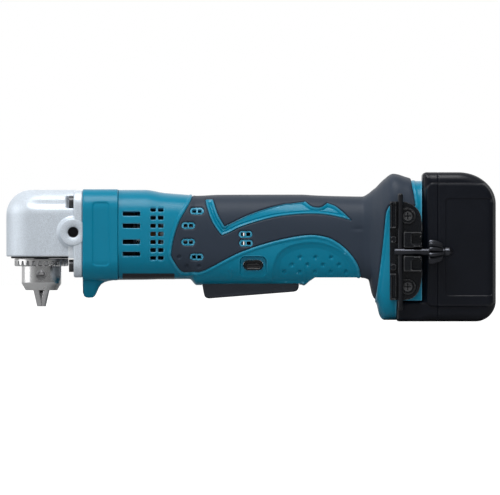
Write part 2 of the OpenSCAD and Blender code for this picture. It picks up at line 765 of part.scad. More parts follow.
module motor_rear_bearing() color(steel_color) turned(rear_bearing_x + seat_gap)
    bearing_profile(shaft_r + run_gap, small_bearing_r, small_bearing_w);

// The yoke is drawn in to a sleeve that guides the air to the fan, with windows over the windings
guide_x = fan_x + fan_w + pass_gap * 1.5;
guide_l = yoke_x - guide_x;
guide_r = yoke_r * 0.9;
skirt_r = guide_r - yoke_wall - pass_gap;
window_count = 4;
window_w = guide_r * 0.75;
module motor_yoke() color(steel_color) difference() {
    turned(guide_x) polygon([
        [guide_r - yoke_wall, 0], [guide_r, 0], [guide_r, guide_l - yoke_wall], [yoke_r, guide_l - yoke_wall],
        [yoke_r, guide_l + yoke_l], [yoke_r - yoke_wall, guide_l + yoke_l], [yoke_r - yoke_wall, guide_l],
        [guide_r - yoke_wall, guide_l]
    ]);
    for (i = [0 : window_count - 1]) round_axis(i * 360 / window_count)
        block([yoke_x - winding_l, -window_w / 2, 0], [yoke_x - yoke_wall * 2, window_w / 2, yoke_r]);
}

module magnets() color(dark_color) for (a = [0, 180]) round_axis(a)
    translate([yoke_x, 0, axis_z]) rotate([0, 90, 0]) linear_extrude(yoke_l) intersection() {
        difference() {
            circle(yoke_r - yoke_wall - seat_gap);
            circle(stack_r + pass_gap);
        }
        polygon([[0, 0], yoke_r * 2 * [cos(magnet_half), -sin(magnet_half)],
            yoke_r * 2 * [cos(magnet_half), sin(magnet_half)]]);
    }

brush_box_x = commutator_x + (commutator_l - brush_w) / 2;
brush_box_in = winding_back_r + pass_gap;
brush_box_out = yoke_r * 0.9;
module brush_plate() color(dark_color) difference() {
    union() {
        bar_x(yoke_end_x + seat_gap, brush_plate_t, yoke_r);
        for (side = [-1, 1]) {
            low = side < 0 ? -brush_box_out : brush_box_in;
            block([yoke_end_x + brush_plate_t / 2, low, -brush_w / 2 - brush_wall],
                [brush_box_x + brush_w + brush_wall, low + brush_box_out - brush_box_in,
                    brush_w / 2 + brush_wall]);
        }
    }
    bar_x(yoke_end_x - over, brush_plate_t + 2 * over, winding_r);
    block([brush_box_x - seat_gap, -yoke_r, -brush_w / 2 - seat_gap],
        [brush_box_x + brush_w + seat_gap, yoke_r, brush_w / 2 + seat_gap]);
}

module carbon_brushes() color(dark_color) for (side = [0, 180]) round_axis(side)
    block([brush_box_x, commutator_r + pass_gap / 2, -brush_w / 2],
        [brush_box_x + brush_w, commutator_r + pass_gap / 2 + brush_l, brush_w / 2]);

// Switch and trigger

trigger_x = handle_x + handle_l * 0.054;
trigger_end_x = trigger_x + trigger_l;
bulge_z = -handle_drop - bulge_drop;
trigger_sunk = 4.6;
trigger_top_z = bulge_z + trigger_sunk;
trigger_pin_x = trigger_end_x - trigger_pin_r * 1.8;
trigger_pin_z = trigger_top_z - trigger_pin_r * 1.5;
bar_x0 = handle_x + handle_l * 0.355;
bar_z = -handle_drop * 0.716;
bar_half = handle_w / 2 - wall * 0.7;
switch_x = rear_bearing_x + small_bearing_w + pass_gap * 2;
switch_z = bar_z + bar_h / 2 + pass_gap;
plunger_set_back = 4;
plunger_x = bar_x0 + bar_l / 2 + plunger_set_back;
plunger_r = 2;
plunger_gap = 0.35;
plunger_held = 4;

module trigger() color(dark_color) difference() {
    side_view(trigger_w) polygon([
        [trigger_x, trigger_top_z],
        for (p = trigger_shares)
            [trigger_x + p.x * trigger_l, bulge_z - mix(trigger_front, trigger_rear, p.x) * p.y],
        [trigger_end_x, trigger_top_z]
    ]);
    bar_y(trigger_pin_x, trigger_pin_z, -trigger_w, trigger_w, trigger_pin_r + run_gap);
}
trigger_shares = [
    [0, 0], [0.02, 0.72], [0.04, 0.92], [0.07, 1], [0.94, 1], [0.975, 0.9], [0.995, 0.5], [1, 0]
];

module trigger_pin() color(steel_color)
    bar_y(trigger_pin_x, trigger_pin_z, -pin_half, pin_half, trigger_pin_r);
pin_end = 2.5;
pin_half = trigger_w / 2 + pin_end;

module direction_bar() color(dark_color) translate([bar_x0, bar_half, axis_z + bar_z]) rotate([90, 0, 0])
    linear_extrude(2 * bar_half) slot(bar_l, bar_h);

module switch_body() color(dark_color) difference() {
    block([switch_x, -switch_w / 2, switch_z], [switch_x + switch_l, switch_w / 2, switch_z + switch_h]);
    translate([plunger_x, 0, axis_z + switch_z - over])
        cylinder(plunger_held * 2 + over, plunger_r + run_gap * 2, plunger_r + run_gap * 2);
}

module switch_plunger() color(steel_color) translate([plunger_x, 0, axis_z + trigger_top_z + plunger_gap])
    cylinder(switch_z + plunger_held - trigger_top_z - plunger_gap, plunger_r, plunger_r);

// Front cover

nub_shares = [
    [0.01, -0.4], [0.01, 0.64], [0.1, 0.92], [0.22, 1], [0.32, 0.96], [0.46, 0.7], [0.62, 0.25], [0.79, 0.08],
    [1, 0], [1, -0.4]
];
cover_bottom = -cover_h / 2 - cover_sag;
panel_corner_r = 1.8;
panel_share = 0.52;
lens_z = cover_bottom - nub_drop * 0.5;

module front_cover() color(shell_color) difference() {
    union() {
        section(flange_back_x, cover_l) translate([0, -cover_sag]) rounded(cover_w, cover_h, cover_corner_r);
        side_view(nub_w) polygon([
            for (p = nub_shares) [flange_back_x + p.x * nub_l, cover_bottom - p.y * nub_drop]
        ]);
    }
    bar_x(flange_back_x - over, cover_l + 2 * over, gearbox_r + seat_gap);
    for (side = [-1, 1])
        translate([flange_back_x + cover_l * panel_share, side * (cover_w / 2 + over), axis_z])
        rotate([side * 90, 0, 0]) linear_extrude(over + panel_depth)
        rounded(panel_l, panel_h, panel_corner_r);
    for (y = [-1, 1], z = [-1, 1])
        bar_x(flange_back_x - over, cover_l / 2 + over + pass_gap, screw_r + seat_gap, y * flange_screw_y,
            z * flange_screw_z);
    bar_x(flange_back_x - over, lens_l + over, lens_r + seat_gap, 0, lens_z);
}
lens_l = lens_r * 2;

module lamp_lens() color([0.9, 0.95, 1.0]) turned(flange_back_x, 0, lens_z) square([lens_r, lens_l]);

// Housing shells, lofted through oval sections of barrel, handle and foot

foot_roundness = 5;
shell_side_count = 8;
rib_side_count = 16;
foot_section_count = 8;
outer_count = 20;
inner_count = 12;
// Along the barrel, then how far width, top and underside have turned into the handle's
barrel_shares = [[0, 0, 0, 0], [0.36, 0, 0, 0.1], [0.62, 0.12, 0.58, 0.5], [0.95, 0.42, 0.96, 1.0]];
// Along the handle, then share of the bulge, of the handle's top and of its width, narrow behind the motor
handle_shares = [
    [0.02, 1, 0.975, 0.44], [0.16, 0.96, 1, 0.48], [0.64, 0.95, 1.005, 1], [0.655, 1.06, 1.003, 1],
    [0.685, 0.55, 0.995, 1], [0.722, 0, 0.985, 1], [0.86, 0, 0.965, 1], [1, 0, 0.955, 1]
];
// Along the foot, then how far width, top and underside have turned into the foot's
foot_shares = [
    [0.115, 0.1, 0.07, 0.045], [0.17, 0.2, 0.2, 0.37], [0.235, 0.38, 0.34, 0.58], [0.3, 0.55, 0.53, 0.91],
    [0.37, 0.72, 0.72, 1], [0.524, 0.97, 0.99, 1], [0.6, 1, 0.96, 1], [0.708, 1, 0.86, 1], [0.8, 1, 0.78, 1],
    [0.853, 1, 0.67, 1], [1, 1, 0.67, 1]
];
stations = concat(
    [for (s = barrel_shares) [
        body_x + s[0] * barrel_l, mix(barrel_w, handle_w, s[1]) / 2, mix(barrel_rise, handle_rise, s[2]),
        -mix(barrel_drop, handle_drop, s[3]), roundness
    ]],
    [for (s = handle_shares) [
        handle_x + s[0] * handle_l, mix(barrel_w, handle_w, s[3]) / 2, handle_rise * s[2],
        -handle_drop - s[1] * bulge_drop, roundness
    ]],
    [for (s = foot_shares) [
        foot_x + s[0] * foot_l, mix(handle_w, foot_w, s[1]) / 2, mix(handle_rise, foot_rise, s[2]),
        -mix(handle_drop, foot_drop, s[3]), mix(roundness, foot_roundness, s[1])
    ]]
);

function oval(s, inset, count) = [
    for (i = [0 : count - 1])
        let (a = i * 360 / count, c = cos(a), n = sin(a), top = s[2] - inset, low = s[3] + inset,
            across = sign(c) * pow(abs(c), 2 / s[4]), up = sign(n) * pow(abs(n), 2 / s[4]))
        [(s[1] - inset) * across, mix(low, top, (1 + up) / 2)]
];

module shell_form(inset, count = outer_count, first = 0) {
    last = len(stations) - 1 - first;
    points = [
        for (k = [0 : last], p = oval(stations[first + k], inset, count))
            [stations[first + k][0], p.x, axis_z + p.y]
    ];
    sides = [
        for (k = [0 : last - 1], j = [0 : count - 1])
            let (a = k * count, b = a + count, n = (j + 1) % count)
            each [[a + j, b + n, a + n], [a + j, b + j, b + n]]
    ];
    front = [for (j = [0 : count - 1]) j];
    back = [for (j = [0 : count - 1]) last * count + count - 1 - j];
    polyhedron(points, concat([front], sides, [back]));
}

// The side of the middle plane that a shell or grip cover is on
module half(side) intersection() {
    children();
    block([0, side < 0 ? -battery_w : 0, -battery_h], [foot_end_x * 2, side < 0 ? 0 : battery_w, battery_h]);
}

battery_x = foot_end_x + pass_gap;
lip_under = 0.8;
battery_bottom = -foot_drop - lip_under;
battery_top = battery_bottom + battery_h;
battery_mid = (battery_top + battery_bottom) / 2;
lip_top = battery_bottom + lip_h;
channel_x = foot_end_x - channel_depth;
channel_top = foot_rise * 0.78;
slide_gap = 0.3;
tongue_x = channel_x + slide_t + 2 * slide_gap;
block_low = -foot_drop * 0.1;
block_high = foot_rise * 0.62;
block_w = slide_neck_w * 0.65;

// Places of the screws that join the shells, along and above the motor axis
boss_places = [
    [body_x + barrel_l * 0.36, barrel_rise - wall - screw_head_r * 0.7],
    [body_x + barrel_l * 0.36, -barrel_drop + wall + screw_head_r * 0.8],
    [handle_x + handle_l * 0.715, handle_rise * 0.68],
    [handle_x + handle_l * 0.735, -handle_drop * 0.72],
    [foot_x + foot_l * 0.37, foot_rise * 0.56],
    [foot_x + foot_l * 0.42, -foot_drop * 0.8]
];
boss_wall = 1.8;
screw_head_y = handle_w * 0.2;
screw_end_y = -handle_w * 0.2;
screw_head_h = 2.4;
rib_t = 2.2;
rib_lap = 1.2;
rib_drop = yoke_r + rib_lap;

// Radius of a hole drawn with few sides that still clears a round bar
function clear_of(r, sides = shell_side_count) = (r + seat_gap) / cos(180 / sides);

module shell_inside() {
    for (x = [yoke_x + yoke_l * 0.14, yoke_x + yoke_l * 0.8]) difference() {
        block([x, -barrel_w, -rib_drop], [x + rib_t, barrel_w, barrel_rise]);
        bar_x(x - over, rib_t + 2 * over, clear_of(yoke_r, rib_side_count), $fn = rib_side_count);
    }
    difference() {
        block([rear_bearing_x, -barrel_w, bar_z + bar_h / 2 + pass_gap],
            [rear_bearing_x + small_bearing_w + 2 * seat_gap, barrel_w, barrel_rise]);
        bar_x(rear_bearing_x - over, small_bearing_w + 3 * over, clear_of(small_bearing_r, rib_side_count),
            $fn = rib_side_count);
    }
    for (x = [switch_x + switch_l * 0.56, switch_x + switch_l * 0.86]) difference() {
        block([x, -barrel_w, trigger_top_z + plunger_held], [x + rib_t, barrel_w, barrel_rise]);
        block([switch_x, -switch_w / 2 - seat_gap, switch_z - seat_gap],
            [switch_x + switch_l, switch_w / 2 + seat_gap, switch_z + switch_h + seat_gap]);
    }
    for (p = boss_places) bar_y(p.x, p.y, -foot_w / 2, foot_w / 2, screw_head_r + boss_wall);
    difference() {
        bar_y(trigger_pin_x, trigger_pin_z, -handle_w / 2, handle_w / 2, trigger_pin_r + boss_wall);
        block([trigger_x, -trigger_w / 2 - pass_gap, bulge_z - over],
            [foot_x, trigger_w / 2 + pass_gap, trigger_top_z + over * 2]);
    }
}

module vents() {
    for (side = [-1, 1]) {
        translate([0, side * barrel_w / 2, axis_z]) rotate([90, 0, 0])
            linear_extrude(barrel_w * 0.3, center = true) {
                for (z = long_vent_shares)
                    translate([body_x + barrel_l * long_vent_share, z * barrel_rise])
                        rounded(vent_l, vent_h, vent_corner_r);
                for (x = short_vent_shares, k = [-3 : 3])
                    translate([body_x + barrel_l * x, k * short_vent_pitch])
                        rounded(short_vent_l, short_vent_h, vent_corner_r);
            }
        translate([0, side * handle_w / 2, axis_z]) rotate([90, 0, 0])
            linear_extrude(handle_w * 0.35, center = true) for (p = pill_shares, e = [-1, 1])
                translate(pill_place(p) + [e * pill_l * 0.21, 0]) vent(pill_hole_l, pill_hole_h);
    }
}
vent_corner_r = 0.6;
long_vent_share = 0.18;
long_vent_shares = [0.465, 0.185, -0.18, -0.457];
short_vent_shares = [0.469, 0.571];

// Framed pills through the grip covers, each with two small vents
pill_shares = [
    [0.023, 0.593], [-0.028, 0.214], [-0.029, -0.21], [0.021, -0.593], [0.31, -0.008], [0.313, -0.238]
];
function pill_place(p) = [handle_x + p.x * handle_l, p.y * handle_rise];
module pills(spare) for (side = [-1, 1]) translate([0, side * handle_w / 2, axis_z]) rotate([90, 0, 0])
    linear_extrude(handle_w * 0.8, center = true) for (p = pill_shares)
        translate(pill_place(p)) vent(pill_l - spare, pill_h - spare);
pill_l = 8.6;
pill_h = 4.3;
pill_hole_l = 2.8;
pill_hole_h = 2.3;

// A smooth curve through given points
function curve(p, n) = [
    for (i = [0 : len(p) - 2], k = [0 : n - 1])
        let (a = p[max(i - 1, 0)], b = p[i], c = p[i + 1], d = p[min(i + 2, len(p) - 1)], t = k / n)
        b + (c - a) * t / 2 + (2 * a - 5 * b + 4 * c - d) * pow(t, 2) / 2
            + (3 * b - a - 3 * c + d) * pow(t, 3) / 2,
    p[len(p) - 1]
];
// Shares of the handle's length and height for the edges of the grip cover and its stripe
grip_front_shares = [
    [0, 1.2], [-0.004, 0.97], [-0.038, 0.66], [-0.084, 0.29], [-0.118, -0.19], [-0.13, -0.56]
];
grip_sweep_shares = [
    [-0.118, -0.68], [-0.067, -0.976], [0, -0.984], [0.068, -0.94], [0.28, -0.468], [0.49, -0.17],
    [0.67, -0.028],
    [0.766, -0.056], [0.83, -0.153], [0.894, -0.347], [0.946, -0.6], [0.979, -0.85], [0.991, -1.105]
];
grip_foot_shares = [[0.997, -1.7], [1.07, -1.7], [1.082, -1.52], [1.134, 0.58], [1.162, 0.86]];
grip_heel_shares = [[1.305, 0.86], [1.303, 1.0], [1.298, 1.4], [1.29, 1.9], [0, 1.9]];
stripe_low_shares = [
    [0.073, 0.89], [0.084, 0.66], [0.11, 0.34], [0.142, 0.11], [0.17, -0.04]
];
stripe_back_shares = [
    [0.17, -0.04], [0.216, 0.04], [0.28, 0.177], [0.385, 0.327], [0.49, 0.44], [0.6, 0.5], [0.7, 0.52],
    [0.8, 0.49],
    [0.895, 0.4], [0.936, 0.35]
];
stripe_top_shares = [
    [0.936, 0.35], [0.895, 0.532], [0.844, 0.714], [0.792, 0.802]
];
stripe_dip_shares = [[0.792, 0.802], [0.766, 0.714], [0.741, 0.685], [0.702, 0.714], [0.664, 0.839]];
stripe_front_shares = [
    [0.664, 0.839], [0.573, 0.786], [0.544, 0.778], [0.438, 0.66], [0.332, 0.5], [0.253, 0.339],
    [0.186, 0.198]
];
stripe_end_shares = [[0.186, 0.198], [0.147, 0.5], [0.118, 0.89]];
curve_count = 2;
function grip_place(p) = [handle_x + p.x * handle_l, p.y * handle_rise];
function grip_curve(shares) = [for (p = curve(shares, curve_count)) grip_place(p)];

module grip_area() difference() {
    polygon(concat(
        grip_curve(grip_front_shares),
        grip_curve(grip_sweep_shares),
        [for (p = concat(grip_foot_shares, grip_heel_shares)) grip_place(p)]
    ));
    polygon(concat(
        grip_curve(stripe_low_shares),
        grip_curve(stripe_back_shares),
        grip_curve(stripe_top_shares),
        grip_curve(stripe_dip_shares),
        grip_curve(stripe_front_shares),
        grip_curve(stripe_end_shares)
    ));
}

module housing(side) color(shell_color) difference($fn = shell_side_count) {
    half(side) union() {
        difference() {
            shell_form(0);
            intersection() {
                shell_form(wall, inner_count);
                block([0, -foot_w, -battery_h], [channel_x - wall, foot_w, battery_h]);
            }
        }
        intersection() {
            shell_form(wall / 2, inner_count);
            shell_inside();
        }
    }
    difference() {
        side_view(battery_w + over) offset(delta = seat_gap) grip_area();
        shell_form(grip_t + seat_gap);
        pills(seat_gap);
    }
    vents();
    block([trigger_x - pass_gap, -trigger_w / 2 - pass_gap, bulge_z - over * 2],
        [trigger_end_x + pass_gap, trigger_w / 2 + pass_gap, -rib_drop]);
    translate([bar_x0, battery_w / 2, axis_z + bar_z]) rotate([90, 0, 0])
        linear_extrude(battery_w) slot(bar_l + 2 * pass_gap, bar_h + 2 * pass_gap);
    bar_y(trigger_pin_x, trigger_pin_z, -pin_half - seat_gap, pin_half + seat_gap, clear_of(trigger_pin_r));
    for (p = boss_places) {
        bar_y(p.x, p.y, screw_end_y - over, screw_head_y + over, clear_of(screw_r));
        bar_y(p.x, p.y, screw_head_y - seat_gap, foot_w, clear_of(screw_head_r));
    }
    block([channel_x, -slide_w / 2 - slide_gap, -foot_drop - over],
        [tongue_x, slide_w / 2 + slide_gap, channel_top]);
    block([channel_x, -slide_neck_w / 2 - slide_gap, -foot_drop - over],
        [foot_end_x + over, slide_neck_w / 2 + slide_gap, channel_top]);
    block([foot_end_x - lip_l - pass_gap, -foot_w, -foot_drop - over],
        [foot_end_x + over, foot_w, lip_top + pass_gap]);
    block([channel_x - wall - over, -block_w / 2 - seat_gap, block_low - seat_gap],
        [channel_x + over, block_w / 2 + seat_gap, block_high + seat_gap]);
    block([latch_x - pass_gap, -latch_w / 2 - pass_gap, lip_top - over],
        [channel_x + over, latch_w / 2 + pass_gap, lip_top + latch_h + pass_gap]);
    for (z = holder_screw_z) bar_y(holder_screw_x, z, -foot_w, holder_screw_y + over, clear_of(screw_r));
}
module housing_left() housing(-1);
module housing_right() housing(1);

module grip(side) color(soft_color) half(side, $fn = shell_side_count) difference() {
    intersection() {
        shell_form(-grip_proud);
        side_view(battery_w + over) grip_area();
    }
    shell_form(grip_t);
    pills(0);
    if (side > 0) for (p = boss_places)
        bar_y(p.x, p.y, 0, foot_w, clear_of(screw_head_r));
}
module grip_left() grip(-1);
module grip_right() grip(1);

module housing_screws() color(steel_color) for (p = boss_places) {
    bar_y(p.x, p.y, screw_end_y, screw_head_y + seat_gap, screw_r);
    bar_y(p.x, p.y, screw_head_y, screw_head_y + screw_head_h, screw_head_r);
}

// Battery interface in the foot

blade_y = block_w * 0.29;
blade_t = 1;
blade_l = slide_t * 0.82;
blade_low = block_low * 0.2;
blade_high = block_high * 0.86;
leaf_t = 0.5;
leaf_gap = 0.15;

module terminal_block() color(dark_color) {
    block([channel_x - wall * 2, -block_w / 2, block_low], [channel_x, block_w / 2, block_high]);
    for (y = [-1, 1]) block([channel_x - over, y * blade_y - blade_t / 2, blade_low],
        [channel_x + blade_l, y * blade_y + blade_t / 2, blade_high]);
}

// Key and its holder

key_y = -battery_w / 2 - key_gear_r - pass_gap;
key_lap = 17.7;
key_x = foot_end_x - key_lap;
key_bar_inset = 3.8;
key_bar_x = key_x + key_bar_inset;
holder_x = foot_end_x - holder_l;
holder_y = -foot_w / 2 - holder_t;
holder_top = foot_rise * 0.54;
holder_fin_l = 4.3;
holder_fin_out = 6.6;
holder_fin_h = holder_h * 0.275;
clip_set_back = 4.2;
clip_x = key_bar_x + clip_set_back;
clip_h = 10.4;
clip_out = 7.4;
holder_screw_inset = 9.1;
holder_screw_x = foot_end_x - holder_screw_inset;
holder_screw_up = 22.8;
holder_screw_down = 22.3;
holder_screw_z = [-key_drop + holder_screw_up, -key_drop - holder_screw_down];
holder_screw_depth = 10;
holder_screw_y = -foot_w / 2 + holder_screw_depth;
holder_boss_r = 5.5;
holder_boss_out = 0.9;
holder_sunk = 1.4;
holder_seat_y = holder_y + holder_sunk;
holder_head_h = 1.8;

module key_holder() color(dark_color) difference() {
    union() {
        translate([0, -foot_w / 2 + wall, axis_z]) rotate([90, 0, 0]) linear_extrude(holder_t + wall)
            polygon([for (p = holder_shares) [holder_x + p.x * holder_l, holder_top - p.y * holder_h]]);
        for (z = [holder_top - holder_fin_h, holder_top - holder_h])
            block([holder_x, holder_y - holder_fin_out, z],
                [holder_x + holder_fin_l, holder_y + over, z + holder_fin_h]);
        for (z = [-key_drop + key_r + seat_gap, -key_drop - key_r - seat_gap - clip_h])
            block([clip_x, holder_y - clip_out, z], [foot_end_x, holder_y + over, z + clip_h]);
        for (z = holder_screw_z)
            bar_y(holder_screw_x, z, holder_y - holder_boss_out, holder_y + over, holder_boss_r);
    }
    shell_form(-seat_gap, outer_count, len(stations) - foot_section_count);
    for (z = holder_screw_z) {
        bar_y(holder_screw_x, z, holder_y * 2, 0, screw_r + seat_gap);
        bar_y(holder_screw_x, z, holder_y * 2, holder_seat_y, holder_head_r + pass_gap);
    }
}
holder_shares = [
    [0, 0], [0.62, 0], [0.82, 0.07], [0.95, 0.2], [1, 0.35], [1, 0.72], [0.94, 0.88], [0.8, 0.96], [0.55, 1],
    [0, 1]
];

module holder_screws() color(steel_color) for (z = holder_screw_z) {
    bar_y(holder_screw_x, z, holder_seat_y, holder_screw_y, screw_r);
    bar_y(holder_screw_x, z, holder_seat_y - holder_head_h, holder_seat_y, holder_head_r);
}
holder_head_r = 3.7;

// The key's cone is cut by grooves that narrow towards the pilot
module chuck_key() color(steel_color) difference() {
    turned(key_x, key_y, -key_drop) polygon([
        [0, 0], [key_r, 0], [key_r, key_shaft_l], [key_gear_r, key_shaft_l],
        [key_gear_r, key_shaft_l + key_land], [key_gear_small_r, key_gear_end], [key_pilot_r, key_gear_end],
        [key_pilot_r, key_gear_end + key_pilot_l], [0, key_gear_end + key_pilot_l + key_pilot_r * 0.6]
    ]);
    for (i = [0 : key_teeth - 1]) translate([key_x + key_shaft_l + key_land, key_y, axis_z - key_drop])
        rotate([i * 360 / key_teeth, 0, 0]) translate([0, 0, key_gear_r]) rotate([0, 90 + key_slope, 0])
        cylinder(key_gear_l * 3, key_groove_r, key_groove_r, $fn = 4, center = true);
    translate([key_bar_x, key_y, 0])
        bar_z(axis_z - key_drop - key_r * 2, axis_z - key_drop + key_r * 2, key_bar_r + seat_gap);
}
key_land = 2.2;
key_gear_end = key_shaft_l + key_gear_l;
key_slope = atan((key_gear_r - key_gear_small_r) / (key_gear_l - key_land));
key_groove_r = PI * key_gear_r / key_teeth * 0.62;

module key_bar() color(steel_color) translate([key_bar_x, key_y, axis_z - key_drop])
    cylinder(key_bar_l, key_bar_r, key_bar_r, center = true);

// Battery

module battery_form() intersection() {
    section(battery_x, battery_l) translate([0, battery_mid]) rounded(battery_w, battery_h, battery_edge_r);
    side_view(battery_w + over) union() {
        translate([battery_x, battery_bottom + battery_heel_r])
            square([battery_l, battery_h - battery_heel_r - battery_back_h]);
        translate([battery_x, battery_bottom]) square([battery_l - battery_back_r, battery_h]);
        translate([battery_x, battery_bottom]) square([battery_l - battery_heel_r, battery_h / 2]);
        translate([battery_x + battery_l - battery_heel_r, battery_bottom + battery_heel_r])
            circle(battery_heel_r);
        translate([battery_x + battery_l - battery_back_r, battery_top - battery_back_h])
            scale([1, battery_back_h / battery_back_r]) circle(battery_back_r);
    }
}
battery_back_h = battery_back_r * 0.84;
seam_x = battery_x + upper_case_l;
cell_gap = 0.5;
cell_pitch = cell_r * 2 + cell_gap;
cell_cover = 3;
cell_back_wall = 2;
cell_end_wall = 9.5;
cell_x = battery_x + cell_cover + cell_r;
// As many rows along the tool and layers over each other as the battery has room for
cell_row_count = max(1, floor((battery_l - cell_cover - cell_back_wall) / cell_pitch));
cell_layer_count = max(1, floor((battery_h - 2 * cell_end_wall) / cell_pitch));
cell_low = axis_z + battery_mid - (cell_layer_count - 1) / 2 * cell_pitch;

module cell_places() for (i = [0 : cell_row_count - 1], k = [0 : cell_layer_count - 1])
    translate([cell_x + i * cell_pitch, 0, cell_low + k * cell_pitch]) rotate([90, 0, 0]) children();

module cell_pockets() {
    cell_places() cylinder(cell_l + 2 * seat_gap, cell_r + seat_gap, cell_r + seat_gap, center = true);
    if (cell_row_count > 1) for (k = [0 : cell_layer_count - 1])
        translate([cell_x, -cell_l / 2 - seat_gap, cell_low + k * cell_pitch - cell_r])
        cube([(cell_row_count - 1) * cell_pitch, cell_l + 2 * seat_gap, 2 * cell_r]);
}

module battery_cells() color([0.25, 0.5, 0.35]) cell_places() cylinder(cell_l, cell_r, cell_r, center = true);

battery_screw_y = battery_w * 0.38;
battery_screw_edge = 6.2;
battery_screw_z = battery_h / 2 - battery_screw_edge;
battery_screw_sunk = 6;
battery_screw_x = seam_x - battery_screw_sunk;
battery_screw_l = 20;

// Places of the screws that join the cases, off the middle and on the motor axis
battery_screw_places = [
    for (y = [-1, 1], z = [-1, 1]) [y * battery_screw_y, battery_mid + z * battery_screw_z]
];

module battery_screw_holes(r, head) for (p = battery_screw_places) {
    bar_x(battery_screw_x - seat_gap, battery_screw_l + 2 * seat_gap, r, p.x, p.y);
    bar_x(battery_screw_x + battery_screw_l, battery_l, head, p.x, p.y);
}

module battery_screws() color(steel_color) for (p = battery_screw_places) {
    bar_x(battery_screw_x, battery_screw_l, screw_r, p.x, p.y);
    bar_x(battery_screw_x + battery_screw_l, screw_head_h, screw_head_r, p.x, p.y);
}

label_l = 30;
label_h = 62;
label_depth = 0.4;
label_corner_r = 2.5;
label_share = 0.64;

module battery_lower_case() color(dark_color) difference() {
    intersection() {
        battery_form();
        block([seam_x, -battery_w, -battery_h], [battery_x + battery_l * 2, battery_w, battery_h]);
    }
    cell_pockets();
    battery_screw_holes(screw_r + seat_gap, screw_head_r + seat_gap);
    for (side = [-1, 1])
        translate([battery_x + battery_l * label_share, side * (battery_w / 2 + over), axis_z + battery_mid])
        rotate([side * 90, 0, 0]) linear_extrude(over + label_depth)
        rounded(label_l, label_h, label_corner_r);
}

release_inset = 1.6;
release_x = foot_end_x - lip_l + release_inset;
release_l = 8;
release_h = 8.4;
release_lift = 0.6;
release_z = battery_bottom + release_lift;
latch_inset = 0.6;
latch_x = release_x + latch_inset;
latch_t = 2.4;
latch_w = 16;
latch_h = 1.8;
slide_high = channel_top - pass_gap;
slide_x = channel_x + slide_gap;
lip_corner_r = 2.3;
lip_edge = 3;
lip_w = battery_w - 2 * lip_edge;

module battery_upper_case() color(dark_color) difference() {
    union() {
        intersection() {
            battery_form();
            block([0, -battery_w, -battery_h], [seam_x, battery_w, battery_h]);
        }
        block([slide_x, -slide_w / 2, lip_top - over], [slide_x + slide_t, slide_w / 2, slide_high]);
        block([slide_x, -slide_neck_w / 2, lip_top - over], [battery_x + over, slide_neck_w / 2, slide_high]);
        section(foot_end_x - lip_l, lip_l + over) translate([0, battery_bottom + lip_h / 2])
            rounded(lip_w, lip_h, lip_corner_r);
    }
    cell_pockets();
    battery_screw_holes(screw_r + seat_gap, screw_head_r + seat_gap);
    for (y = [-1, 1]) block([channel_x - over, y * blade_y - slot_w / 2, blade_low - over],
        [channel_x + blade_l + pass_gap * 2, y * blade_y + slot_w / 2, slide_high + over]);
    block([release_x - pass_gap, -release_w / 2 - pass_gap, battery_bottom - over],
        [release_x + release_l + release_stroke + pass_gap, release_w / 2 + pass_gap,
            release_z + release_h + pass_gap]);
    block([latch_x - pass_gap, -latch_w / 2 - pass_gap, release_z],
        [latch_x + latch_t + release_stroke + pass_gap, latch_w / 2 + pass_gap,
            lip_top + latch_h + pass_gap]);
}
slot_gap = 0.3;
slot_w = blade_t + 2 * (leaf_gap + leaf_t + slot_gap);

module release_button() color(dark_color) {
    block([release_x, -release_w / 2, release_z],
        [release_x + release_l, release_w / 2, release_z + release_h]);
    block([latch_x, -latch_w / 2, release_z + release_h - over],
        [latch_x + latch_t, latch_w / 2, lip_top + latch_h]);
}

module battery_contacts() color(copper_color) for (y = [-1, 1], e = [-1, 1]) {
    low = y * blade_y + e * (blade_t / 2 + leaf_gap + leaf_t / 2) - leaf_t / 2;
    block([slide_x + over, low, blade_low], [channel_x + blade_l + pass_gap * 2, low + leaf_t, blade_high]);
}

angle_head();
flange_screws();
dust_ring();
spindle();
crown_gear();
spindle_top_bearing();
spindle_needle_bearing();
chuck_body();
chuck_sleeve();
chuck_nut();
chuck_jaw_1();
chuck_jaw_2();
chuck_jaw_3();
chuck_screw();
pinion_shaft();
pinion_bearing();
planet_carrier();
planet_pins();
planet_gear_1();
planet_gear_2();
planet_gear_3();
ring_gear();
gearbox_plate();
armature();
sun_gear();
windings();
commutator();
fan();
motor_front_bearing();
motor_rear_bearing();
motor_yoke();
magnets();
brush_plate();
carbon_brushes();
switch_body();
switch_plunger();
trigger();
trigger_pin();
direction_bar();
front_cover();
lamp_lens();
housing_left();
housing_right();
grip_left();
grip_right();
housing_screws();
terminal_block();
key_holder();
holder_screws();
chuck_key();
key_bar();
battery_lower_case();
battery_upper_case();
battery_cells();
battery_contacts();
battery_screws();
release_button();
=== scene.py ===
import math

import bmesh
import bpy
import numpy as np
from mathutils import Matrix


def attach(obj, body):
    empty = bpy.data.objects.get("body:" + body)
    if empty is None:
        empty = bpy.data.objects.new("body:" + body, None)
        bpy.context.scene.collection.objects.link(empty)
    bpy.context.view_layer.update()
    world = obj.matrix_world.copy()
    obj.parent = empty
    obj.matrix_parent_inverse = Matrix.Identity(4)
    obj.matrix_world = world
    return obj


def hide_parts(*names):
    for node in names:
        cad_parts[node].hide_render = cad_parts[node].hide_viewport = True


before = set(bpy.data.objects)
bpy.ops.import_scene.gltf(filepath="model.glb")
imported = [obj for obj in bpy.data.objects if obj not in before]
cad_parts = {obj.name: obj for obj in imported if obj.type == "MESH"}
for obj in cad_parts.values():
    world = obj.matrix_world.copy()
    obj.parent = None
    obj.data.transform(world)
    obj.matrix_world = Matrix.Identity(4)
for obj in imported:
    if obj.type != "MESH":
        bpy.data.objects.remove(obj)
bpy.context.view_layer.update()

scene = bpy.context.scene

